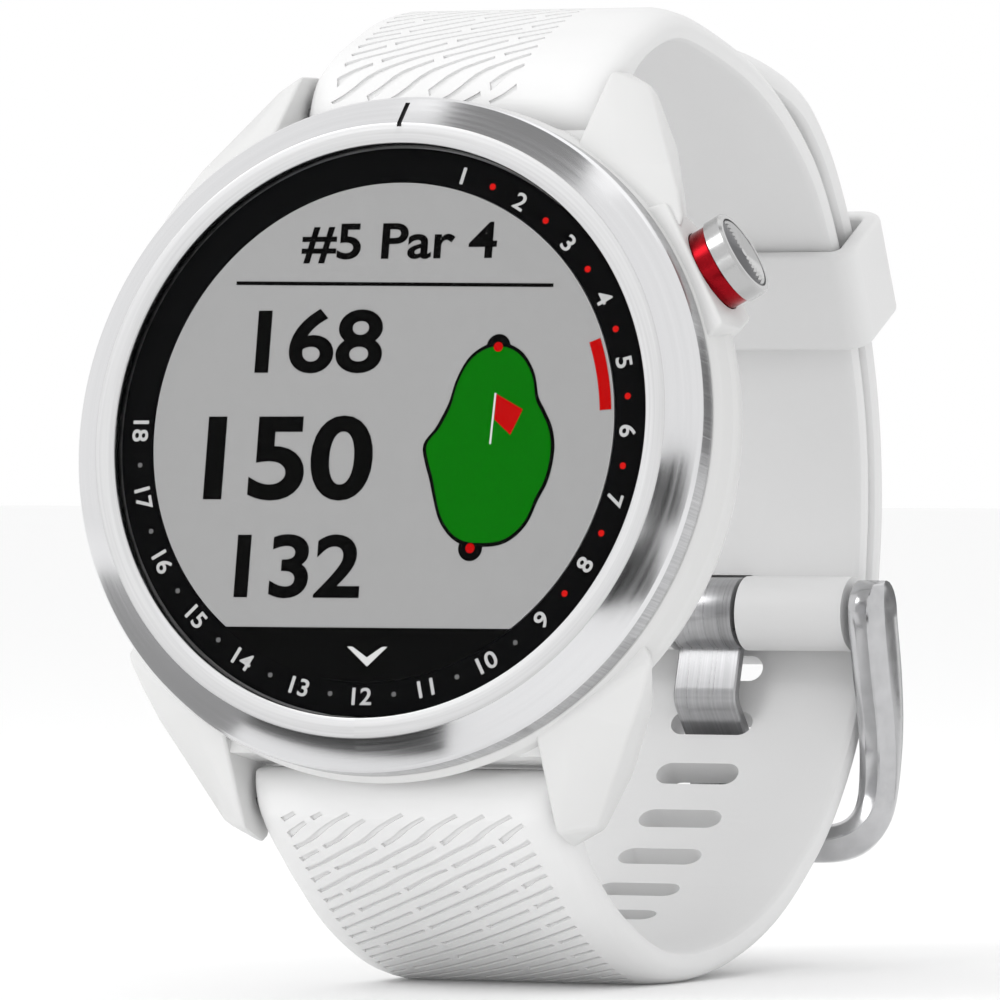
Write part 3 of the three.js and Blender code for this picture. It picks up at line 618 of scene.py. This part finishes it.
green_edge = joined([slab("green_edge", blob(0.12), INK_HIGH, 0.012),
                     dot("far_ring", (7.3, 5.1), 0.78, PRINT_LOW),
                     dot("near_ring", (6.4, -7.1), 0.78, PRINT_LOW)],
                    "green_outline")
green_edge.data.materials.append(screen_ink)
settle(green_edge, "watch_head")
green = slab("green", blob(-0.12), INK_HIGH + 0.006)
green.data.materials.append(ink("screen_green", (0.001, 0.135, 0.001), 0.6))
settle(green, "watch_head")
pole = slab("flag_pole", [(7.16, -0.8), (7.28, -0.8), (7.4, 2.3), (7.28, 2.3)], INK_HIGH + 0.02)
CHEVRON = [(-0.85, -13.1), (0.15, -13.75), (1.1, -13.1), (1.45, -13.1), (0.2, -14.3), (-1.2, -13.1)]
chevron = slab("chevron", CHEVRON, INK_HIGH)
pale = joined([pole, chevron], "screen_pale_marks")
pale.data.materials.append(ink("screen_pale", (0.62, 0.62, 0.62), 0.6))
settle(pale, "watch_head")
bar_arc = [on_dial(15.0, 68 + i) for i in range(18)] + [on_dial(14.25, 85 - i) for i in range(18)]
flag_cloth = slab("flag_cloth", [(7.4, 2.25), (9.2, 1.3), (8.5, -0.25), (7.38, 0.7)], INK_HIGH + 0.02)
red_marks = joined([flag_cloth, slab("side_bar", bar_arc, INK_HIGH),
                    dot("far_spot", (7.3, 5.1), 0.3, INK_HIGH + 0.012),
                    dot("near_spot", (6.4, -7.1), 0.3, INK_HIGH + 0.012)], "screen_red_marks")
red_marks.data.materials.append(ink("screen_red", (0.42, 0.002, 0.002), 0.6))
settle(red_marks, "watch_head")

# ---- Button collar ---------------------------------------------------------
# Anodised aluminium sleeve pressed in the boss. It stands out of it as a red
# band, and the cap slides over its end.
button_to_watch = dial_to_watch @ button_to_dial
COLLAR = [(1.3, 20.26), (2.56, 20.26), (2.56, 22.4), (2.46, 22.52), (2.1, 22.52), (2.1, 21.1), (1.3, 21.1)]
collar = spun("collar", COLLAR, ease=0.07, steps=128)
anodised, anodised_tree, anodised_shader = shader_of("red_anodised")
anodised_shader.inputs["Metallic"].default_value = 1.0
anodised_grain = noise(anodised_tree, object_place(anodised_tree), 2500.0)
toned(anodised_tree, anodised_shader, anodised_grain, (0.22, 0.004, 0.008), (0.34, 0.008, 0.014))
glossed(anodised_tree, anodised_shader, anodised_grain, 0.18, 0.34)
collar.data.materials.append(anodised)
settle(collar, "watch_head", button_to_watch)
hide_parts("button_collar")

# ---- Button cap ------------------------------------------------------------
# Stainless steel, turned, with eight fine rings in its face and a bright rim.
# The rings' outward walls get a dark steel as painted shade in the grooves.
cap_line = [(0, 14.85), (0.85, 14.85), (0.85, 23.12), (2.62, 23.12), (2.62, 22.5),
            (2.7, 22.48), (2.7, 23.5), (2.58, 23.65), (2.32, 23.65)]
for ring_number in range(8):
    outer = 2.3 - 0.27 * ring_number
    cap_line += [(outer, 23.52), (outer - 0.13, 23.64)]
cap_line += [(0, 23.62)]
cap = spun("cap", cap_line, ease=0, steps=144)
polished_steel = brushed("polished_steel", (0.50, 0.50, 0.50), 0.20, 900.0, 900.0, 0.000004,
                         swing=0.08, polar=False)
cap.data.materials.append(polished_steel)
# A dark steel for painted shade on the rings' walls.
cap.data.materials.append(brushed("ring_painted_shade", (0.16, 0.16, 0.165), 0.3, 900.0, 900.0, 0.000004,
                                  polar=False))
# Outward-facing walls of the face rings take the dark steel: painted shade in the grooves.
for face in cap.data.polygons:
    radius = math.hypot(face.center.x, face.center.y)
    outward = (face.normal.x * face.center.x + face.normal.y * face.center.y) / max(radius, 1e-6)
    if face.center.z > 23.4 and radius < 2.33 and outward > 0.3:
        face.material_index = 1
settle(cap, "button", button_to_watch, smooth=20)
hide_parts("button_cap")

# ---- Strap, upper half -----------------------------------------------------
# White silicone, moulded flat with a rubbed-in line pattern and bent round. It
# hangs on a spring bar, and its far end wraps the pin of the buckle.
def curve_of(points):
    """A smooth curve through (y, z) points: tables of length and place."""
    first = (2 * points[0][0] - points[1][0], 2 * points[0][1] - points[1][1])
    last = (2 * points[-1][0] - points[-2][0], 2 * points[-1][1] - points[-2][1])
    chain = [Vector(p) for p in [first, *points, last]]
    places = []
    for i in range(1, len(chain) - 2):
        p0, p1, p2, p3 = chain[i - 1:i + 3]
        d0, d1, d2 = (max((b - a).length ** 0.5, 1e-4) for a, b in ((p0, p1), (p1, p2), (p2, p3)))
        t1 = ((p1 - p0) / d0 - (p2 - p0) / (d0 + d1) + (p2 - p1) / d1) * d1
        t2 = ((p2 - p1) / d1 - (p3 - p1) / (d1 + d2) + (p3 - p2) / d2) * d1
        for k in range(60):
            t = k / 60
            places.append(p1 + t1 * t + (-3 * p1 + 3 * p2 - 2 * t1 - t2) * t ** 2
                          + (2 * p1 - 2 * p2 + t1 + t2) * t ** 3)
    places.append(chain[-2])
    lengths = [0.0]
    for a, b in zip(places, places[1:]):
        lengths.append(lengths[-1] + (b - a).length)
    return lengths, places


def station(curve, s, left):
    """Place, heading and outward normal at a length along a curve."""
    lengths, places = curve
    s_in = min(max(s, 0.0), lengths[-1])
    low, high = 0, len(lengths) - 1
    while high - low > 1:
        middle = (low + high) // 2
        if lengths[middle] <= s_in:
            low = middle
        else:
            high = middle
    share = (s_in - lengths[low]) / (lengths[high] - lengths[low])
    before, after = max(low - 1, 0), min(high + 1, len(places) - 1)
    heading = (places[high] - places[before]).normalized()
    ahead = heading.lerp((places[after] - places[low]).normalized(), share)
    ahead.normalize()
    place = places[low].lerp(places[high], share) + ahead * (s - s_in)
    out = Vector((-ahead.y, ahead.x)) if left else Vector((ahead.y, -ahead.x))
    return place, ahead, out


def lofted(name, rings, closed=False):
    """A skin over rings of points; the two ends are filled unless it closes on itself."""
    count = len(rings[0])
    if closed:
        rings = rings + [rings[0]]
    bpy.ops.object.select_all(action="DESELECT")
    bpy.ops.mesh.primitive_grid_add(x_subdivisions=count, y_subdivisions=len(rings) - 1, size=1.0,
                                    location=(0, 0, 0))
    piece = bpy.context.object
    piece.name = name
    flat = [co for ring in rings for point in [*ring, ring[0]] for co in point]
    piece.data.vertices.foreach_set("co", flat)
    bpy.ops.object.mode_set(mode="EDIT")
    bpy.ops.mesh.select_all(action="SELECT")
    bpy.ops.mesh.remove_doubles(threshold=1e-4)
    bpy.ops.mesh.select_all(action="SELECT")
    if not closed:
        bpy.ops.mesh.fill_holes(sides=0)
        bpy.ops.mesh.select_all(action="SELECT")
    bpy.ops.mesh.normals_make_consistent(inside=False)
    bpy.ops.object.mode_set(mode="OBJECT")
    return piece


STRAP_THICK, ROOT_THICK, STRAP_HALF = 2.1, 3.6, 10.0
BARREL_RADIUS = 2.0


def strap_thick(s):
    """Thickness along the strap: thicker at the root, even after 7.5 mm."""
    t = min(max((s + 1) / 8.5, 0), 1)
    return ROOT_THICK + (STRAP_THICK - ROOT_THICK) * t * t * (3 - 2 * t)


def band_ring(s, half=STRAP_HALF):
    """The band's section at s, as (x, s, height)."""
    thick = strap_thick(s)
    top, low = thick / 2, -thick / 2
    if abs(s) < BARREL_RADIUS:
        round_half = math.sqrt(BARREL_RADIUS ** 2 - s * s)
        if s < 0:
            top, low = round_half, -round_half
        else:
            top, low = max(top, round_half), min(low, -round_half)
    tall = top - low
    share = tall / thick
    edge = [(7.95, 0), (8.6, 0.12), (9.3, 0.35), (9.62, 0.56), (9.83, 0.8), (9.95, 1.02), (10, 1.25),
            (9.96, thick - 0.45), (9.82, thick - 0.18), (9.62, thick - 0.05), (9.35, thick)]
    side = [(max(half - (STRAP_HALF - x), 0.02), top - depth * share) for x, depth in edge]
    return [(x, s, n) for x, n in side] + [(-x, s, n) for x, n in reversed(side)]


def flat_strip(name, length, round_tip):
    """The band laid flat, from its rounded root to its end."""
    marks = [-1.985, -1.93, -1.8, -1.6, -1.3, -1.0, -0.6, -0.2, 0.2, 0.6, 1.0, 1.4, 1.8]
    straight_end = length - STRAP_HALF if round_tip else length
    steps = round((straight_end - 2.2) / 0.75)
    marks += [2.2 + (straight_end - 2.2) * i / steps for i in range(steps + 1)]
    rings = [band_ring(s) for s in marks]
    if round_tip:
        for i in range(1, 17):
            angle = math.radians(83) * i / 16
            rings.append(band_ring(straight_end + STRAP_HALF * math.sin(angle), STRAP_HALF * math.cos(angle)))
    return lofted(name, rings)


GROOVE_WIDE, GROOVE_DEEP = 0.28, 0.2


def groove(name, x0, x1, s0, slope, hook):
    """A cutter for one slanting line on the band's outer face; a hook widens its start."""
    steps = max(round(abs(x1 - x0) / 0.9), 1)
    spots = [(x0 + (x1 - x0) * i / steps, s0 + slope * (x1 - x0) * i / steps) for i in range(steps + 1)]
    rings = []
    for i, (x, s) in enumerate(spots):
        ahead = Vector(spots[min(i + 1, len(spots) - 1)]) - Vector(spots[max(i - 1, 0)])
        ahead.normalize()
        wide = GROOVE_WIDE * (1.35 if hook and i == 0 else 1)
        side = Vector((-ahead.y, ahead.x)) * wide / 2
        face = strap_thick(s) / 2
        if abs(s) < BARREL_RADIUS:
            round_face = math.sqrt(BARREL_RADIUS ** 2 - s * s)
            face = round_face if s < 0 else max(face, round_face)
        floor, above = face - GROOVE_DEEP, face + 0.4
        rings.append([(x + side.x, s + side.y, floor), (x - side.x, s - side.y, floor),
                      (x - side.x, s - side.y, above), (x + side.x, s + side.y, above)])
    return lofted(name, rings)


def line_pattern(strip, x0, x1, slope, first, gaps, s_from, s_to):
    """Cuts the rows of slanting lines: whole rows and broken rows in turn."""
    cutters = []
    row = -12
    while True:
        start = first + 1.04 * row
        if start > s_to + 10:
            break
        pieces = [(x0, x1)]
        if row % 2:
            bounds = [x0, *[edge for gap in gaps for edge in gap], x1]
            pieces = [(bounds[i], bounds[i + 1]) for i in range(0, len(bounds), 2)]
        for left, right in pieces:
            s_left, s_right = start + slope * (left - x0), start + slope * (right - x0)
            low, high = s_from, s_to
            if max(s_left, s_right) < low + 0.4 or min(s_left, s_right) > high - 0.4:
                continue
            trim = []
            for s_end, x_end in ((s_left, left), (s_right, right)):
                s_kept = min(max(s_end, low), high)
                trim.append((left + (s_kept - s_left) / slope, s_kept))
            (a, sa), (b, sb) = sorted(trim)
            hooked = abs(a - left) < 1e-6 and sa - 0.34 > low
            cutters.append(groove("groove", a, b, sa, slope, hooked))
        row += 1
    merge(strip, joined(cutters, "grooves"), "DIFFERENCE")


def wrapped(piece, curve, left):
    """Bends a flat piece (x, s, height) round a curve."""
    for vertex in piece.data.vertices:
        x, s, n = vertex.co
        place, _, out = station(curve, s, left)
        vertex.co = (x, place.x + out.x * n, place.y + out.y * n)
    only(piece)
    bpy.ops.object.mode_set(mode="EDIT")
    bpy.ops.mesh.select_all(action="SELECT")
    bpy.ops.mesh.normals_make_consistent(inside=False)
    bpy.ops.object.mode_set(mode="OBJECT")
    return piece


def box(name, low, high):
    """A block between two corners."""
    middle = [(a + b) / 2 for a, b in zip(low, high)]
    return block(name, middle, [b - a for a, b in zip(low, high)])


BAR_RADIUS = 0.9


def bar_middle(side):
    """The middle of a spring bar, in the upright frame."""
    turned_bar = dial_turn @ Vector((0, side * BAR_Y, BAR_Z))
    return turned_bar.y, turned_bar.z


def root_cuts(strap, side):
    """Bore for the spring bar and the slot for its release lever."""
    y, z = bar_middle(side)
    merge(strap, rod_x("bar_bore", BAR_RADIUS + 0.07, 12, y, z), "DIFFERENCE")
    slot_cut = box("lever_slot", (4.9, side * BAR_Y - 0.9, -14), (8.4, side * BAR_Y + 0.9, BAR_Z))
    slot_cut.data.transform(dial_turn)
    merge(strap, slot_cut, "DIFFERENCE")


upright_to_watch = Matrix.Translation(dial_middle) @ Matrix.Scale(MM, 4)
white_silicone = moulded("white_silicone", (0.76, 0.76, 0.76), 1800.0, 0.50, 0.000025)
HINGE_Y, HINGE_Z = 51.0, -11.75
UPPER = [bar_middle(1), (12.45, 20.5), (13.1, 21.25), (14.05, 22.0), (15.2, 22.8), (17.0, 23.65),
         (18.8, 24.35), (20.95, 24.9), (23.4, 25.05), (28.4, 24.2), (34.9, 22.35), (40.0, 19.9),
         (44.9, 16.3), (48.4, 11.5), (51.3, 5.5), (52.8, 0), (53.1, -5), (52.35, HINGE_Z)]
upper_curve = curve_of(UPPER)
upper_length = upper_curve[0][-1]
upper = flat_strip("strap_half_upper", upper_length, False)
line_pattern(upper, -8.0, 4.2, 0.577, 2.2, [(-6.1, -5.65), (-2.1, -1.6), (1.9, 2.4)], 0.0, 32.0)
wrapped(upper, upper_curve, True)
root_cuts(upper, 1)
merge(upper, rod_x("buckle_barrel", 2.4, STRAP_HALF - 0.15, HINGE_Y, HINGE_Z, 96), "UNION")
merge(upper, rod_x("pin_bore", 0.7, 12, HINGE_Y, HINGE_Z), "DIFFERENCE")
tongue_slot = box("tongue_slot", (-2.5, HINGE_Y - 4, HINGE_Z - 6), (2.5, HINGE_Y + 6, HINGE_Z + 2.45))
merge(upper, tongue_slot, "DIFFERENCE")
upper.data.materials.append(white_silicone)
settle(upper, "watch_head", upright_to_watch, smooth=28)
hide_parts("strap_upper")

# ---- Strap, lower half -----------------------------------------------------
# The same silicone, with nine adjustment slots and a round tip. Its tail lies
# on the outside of the upper half, and it stands on a small flat.
TAIL_FROM, TAIL_TO, TAIL_STEPS, LAP = 0.928, 0.368, 9, 2.35
tail = []
for i in range(TAIL_STEPS + 1):
    share = TAIL_FROM + (TAIL_TO - TAIL_FROM) * i / TAIL_STEPS
    place, _, out = station(upper_curve, share * upper_length, True)
    tail.append(tuple(place + out * LAP))
LOWER = [bar_middle(-1), (5.3, -23.4), (5.95, -24.2), (6.65, -25.0), (7.4, -25.75), (8.35, -26.75),
         (9.4, -27.6), (10.95, -28.75), (12.5, -29.75), (14.3, -30.7), (17.3, -32.0), (20.5, -32.9),
         (23.6, -33.2), (26.6, -33.15), (30.6, -32.7), (35.2, -31.6), (39.2, -30.1), (42.8, -28.1),
         (46.2, -25.75), (49.2, -22.8), (51.6, -19.6), (53.5, -15.8), *tail]
lower_curve = curve_of(LOWER)
lower_length = lower_curve[0][-1]
lower = flat_strip("strap_half_lower", lower_length, True)
line_pattern(lower, -8.0, 7.95, -0.58, 2.43, [(-6.5, -6.0), (-2.5, -2.0), (1.5, 2.0), (5.5, 6.0)], -0.2, 38.0)
hole_start = next(lower_length * k / 400 for k in range(400)
                  if station(lower_curve, lower_length * k / 400, False)[0].x > 35.25)
HOLE_PITCH, HOLE_COUNT, HOLE_WIDE, HOLE_TALL = 4.15, 9, 5.7, 1.8
punches = []
for i in range(HOLE_COUNT):
    s = hole_start + HOLE_PITCH * i
    reach = (HOLE_WIDE - HOLE_TALL) / 2
    outline = [(reach + HOLE_TALL / 2 * math.cos(a), s + HOLE_TALL / 2 * math.sin(a))
               for a in (math.radians(-90 + 15 * k) for k in range(13))]
    outline += [(-x, 2 * s - y) for x, y in outline]
    punches.append(lofted("punch", [[(x, y, -3) for x, y in outline], [(x, y, 3) for x, y in outline]]))
merge(lower, joined(punches, "punches"), "DIFFERENCE")
wrapped(lower, lower_curve, False)
root_cuts(lower, -1)
TABLE_Z = -34.15
for vertex in lower.data.vertices:
    vertex.co.z = max(vertex.co.z, TABLE_Z)
lower.data.materials.append(white_silicone)
settle(lower, "watch_head", upright_to_watch, smooth=28)
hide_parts("strap_lower")

# ---- Keeper ----------------------------------------------------------------
# A closed loop of the same silicone round both halves, with rounded corners.
# It moves along the strap's arc.
KEEPER_AT, KEEPER_WIDE = 0.68, 6.7
keeper_place, keeper_ahead, keeper_out = station(upper_curve, KEEPER_AT * upper_length, True)
INNER_HALF, INNER_LOW, INNER_HIGH, INNER_BEND = 10.25, -1.3, 3.65, 0.45
keeper_rings = []
corners = [(INNER_HALF - INNER_BEND, INNER_HIGH - INNER_BEND, 0),
           (-INNER_HALF + INNER_BEND, INNER_HIGH - INNER_BEND, 90),
           (-INNER_HALF + INNER_BEND, INNER_LOW + INNER_BEND, 180),
           (INNER_HALF - INNER_BEND, INNER_LOW + INNER_BEND, 270)]
KEEPER_EASE = 0.32
for corner_x, corner_n, start in corners:
    for k in range(9):
        angle = math.radians(start + 90 * k / 8)
        wall = 1.05 + 0.2 * math.cos(angle) ** 2
        ring_points = []
        half = KEEPER_WIDE / 2
        section = []
        for cx, cy, first_angle in ((half - KEEPER_EASE, wall - KEEPER_EASE, 0),
                                    (-half + KEEPER_EASE, wall - KEEPER_EASE, 90),
                                    (-half + KEEPER_EASE, KEEPER_EASE, 180),
                                    (half - KEEPER_EASE, KEEPER_EASE, 270)):
            for m in range(4):
                turn = math.radians(first_angle + 30 * m)
                section.append((cx + KEEPER_EASE * math.cos(turn), cy + KEEPER_EASE * math.sin(turn)))
        for along, height in section:
            reach = INNER_BEND + height
            x = corner_x + reach * math.cos(angle)
            n = corner_n + reach * math.sin(angle)
            ring_points.append((x, keeper_place.x + keeper_out.x * n + keeper_ahead.x * along,
                                keeper_place.y + keeper_out.y * n + keeper_ahead.y * along))
        keeper_rings.append(ring_points)
keeper = lofted("keeper_loop", keeper_rings, closed=True)
keeper.data.materials.append(white_silicone)
settle(keeper, "keeper", upright_to_watch)
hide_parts("strap_keeper")

# ---- Buckle frame ----------------------------------------------------------
# Stainless steel, a cast U of chamfered bar. Its legs turn on the pin, and the
# tongue rests on its far bar.
FRAME_LINE = [(50.7, -9.3), (51.0, -12), (51.75, -15.5), (52.1, -19), (51.5, -22.6),
              (50.2, -25.4), (48.7, -27.6)]
frame_curve = curve_of(FRAME_LINE)
frame_length = frame_curve[0][-1]
LEG_X, CORNER, LEG_TOP = 11.5, 3.4, 0.2
bar_distance = frame_length - 1.3
leg_foot = bar_distance - CORNER
outline = []
for k in range(6):
    d = 2.0 * (1 - math.cos(math.radians(15 * k + 8)))
    outline.append((LEG_X, LEG_TOP + d, 0.0, 1.0))
outline += [(LEG_X, 2.2 + (leg_foot - 2.2) * k / 16, 0.0, 1.0) for k in range(1, 17)]
for k in range(1, 13):
    t = k / 12
    x = LEG_X * (1 - t) ** 2 + LEG_X * 2 * t * (1 - t) + (LEG_X - CORNER) * t * t
    d = leg_foot * (1 - t) ** 2 + bar_distance * (2 * t * (1 - t) + t * t)
    outline.append((x, d, -2 * t * CORNER, 2 * (1 - t) * CORNER))
bar_half = LEG_X - CORNER
outline += [(bar_half - 2 * bar_half * k / 8, bar_distance, -1.0, 0.0) for k in range(1, 8)]
outline += [(-x, d, h0, -h1) for x, d, h0, h1 in reversed(outline[:-7])]
frame_rings = []
for x, d, head_x, head_d in outline:
    length = math.hypot(head_x, head_d)
    side_x, side_d = head_d / length, -head_x / length
    t = min(max((d - 5) / (bar_distance - 1 - 5), 0), 1)
    slim = t * t * (3 - 2 * t)
    deep = 2.9 + (1.25 - 2.9) * slim
    shallow = 1.5 + (1.25 - 1.5) * slim
    section = [(-1.15, shallow - 0.5), (-1.15, -deep + 0.7), (-1.05, -deep + 0.45), (-0.5, -deep + 0.03),
               (-0.38, -deep), (0.38, -deep), (0.5, -deep + 0.06), (1.06, -deep + 1.2),
               (1.1, -deep + 1.4), (1.1, shallow - 0.9), (1.02, shallow - 0.72), (0.6, shallow - 0.06),
               (0.45, shallow), (-0.55, shallow), (-0.7, shallow - 0.06)]
    if d < LEG_TOP + 2.0:
        shrink = math.sqrt(max(1 - ((LEG_TOP + 2.0 - d) / 2.0) ** 2, 0.01))
        middle_n = (shallow - deep) / 2
        section = [(s * (0.8 + 0.2 * shrink), middle_n + (n - middle_n) * shrink) for s, n in section]
    ring_points = []
    for s, n in section:
        place, _, out = station(frame_curve, min(max(d + side_d * s, 0), frame_length), True)
        ring_points.append((x + side_x * s, place.x + out.x * n, place.y + out.y * n))
    frame_rings.append(ring_points)
buckle = lofted("buckle_loop", frame_rings)
for low_x, high_x in ((-12.1, -9), (9, 12.1)):
    pin_cut = rod_x("pin_cut", 0.64, (high_x - low_x) / 2, HINGE_Y, HINGE_Z)
    pin_cut.data.transform(Matrix.Translation(((low_x + high_x) / 2, 0, 0)))
    merge(buckle, pin_cut, "DIFFERENCE")
buckle.data.materials.append(brushed("brushed_steel", (0.56, 0.56, 0.57), 0.18, 900.0, 900.0, 0.000006,
                                     swing=0.16, polar=False))
settle(buckle, "buckle", upright_to_watch, smooth=24)
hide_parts("buckle_frame")

# ---- Buckle tongue ---------------------------------------------------------
# Stainless sheet folded round the pin. It goes in through a slot of the lower
# strap and comes to rest on the frame's bar.
HALF_TONGUE = 2.15
TONGUE_SECTION = [(2.15, 0.3), (2.05, 0.4), (-2.05, 0.4), (-2.15, 0.3),
                  (-2.15, -0.3), (-2.05, -0.4), (2.05, -0.4), (2.15, -0.3)]
hole_place = station(lower_curve, hole_start + HOLE_PITCH * 5, False)[0]
entry = Vector((49.75, -17.3))
bend_place = hole_place + (hole_place - entry).normalized() * 1.9
route = [Vector((50.9, -13.9)), entry, bend_place, Vector((51.5, -28.1))]
path = [route[0]]
for before, bend, after in zip(route, route[1:], route[2:]):
    start = bend + (before - bend).normalized() * 0.7
    end = bend + (after - bend).normalized() * 0.7
    path += [start * (1 - t) ** 2 + bend * 2 * t * (1 - t) + end * t * t for t in (0, 0.25, 0.5, 0.75, 1)]
path.append(route[-1])
tongue_rings = []
for i, spot in enumerate(path):
    ahead = (path[min(i + 1, len(path) - 1)] - path[max(i - 1, 0)]).normalized()
    side = Vector((-ahead.y, ahead.x))
    ring_points = []
    for x, n in TONGUE_SECTION:
        at = spot + side * n
        ring_points.append((x, at.x, at.y))
    tongue_rings.append(ring_points)
tongue = lofted("tongue_plate", tongue_rings)
fold = rod_x("tongue_fold", 2.3, HALF_TONGUE, HINGE_Y, HINGE_Z, 96)
only(fold)
bpy.ops.object.mode_set(mode="EDIT")
bpy.ops.mesh.select_mode(type="EDGE")
bpy.ops.mesh.select_all(action="DESELECT")
bpy.ops.mesh.edges_select_sharp(sharpness=math.radians(60))
bpy.ops.mesh.bevel(offset=0.12, segments=2, affect="EDGES", clamp_overlap=True)
bpy.ops.object.mode_set(mode="OBJECT")
merge(tongue, fold, "UNION")
merge(tongue, rod_x("tongue_bore", 0.66, 4, HINGE_Y, HINGE_Z), "DIFFERENCE")
tongue.data.materials.append(brushed("tongue_steel", (0.52, 0.52, 0.53), 0.30, 7000.0, 120.0, 0.000010,
                                     swing=0.3, polar=False))
settle(tongue, "tongue", upright_to_watch, smooth=24)
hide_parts("buckle_tongue")

# ---- Parts shown as packed -------------------------------------------------
# The back cover, bars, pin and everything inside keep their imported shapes, each
# with the finish of its own material.
plain = {
    "brushed_steel": brushed("bar_steel", (0.62, 0.62, 0.63), 0.30, 60.0, 2500.0, 0.000006, polar=False),
    "black_seal": moulded("black_seal", (0.012, 0.012, 0.012), 2200.0, 0.62, 0.00002),
    "black_frame": moulded("black_frame", (0.018, 0.018, 0.02), 2400.0, 0.5, 0.00002),
    "board_laminate": moulded("board_laminate", (0.012, 0.09, 0.045), 1500.0, 0.4, 0.00001),
    "cell_foil": moulded("cell_foil", (0.42, 0.42, 0.44), 1100.0, 0.3, 0.00002),
    "gold_plate": brushed("gold_plate", (0.83, 0.58, 0.22), 0.25, 900.0, 900.0, 0.000004, polar=False),
    "white_polymer": white_polymer,
    "white_silicone": white_silicone,
    "polished_steel": polished_steel,
    "red_anodised": anodised,
    "lens_glass": lens_glass,
    "black_print": black_ink,
    "display_face": screen_ink,
}
for name, node in frame["nodes"].items():
    for place_number, material_slot in enumerate(node.material_slots):
        key = (material_slot.material.name if material_slot.material else "").split(".")[0]
        if key in plain:
            node.data.materials[place_number] = plain[key]
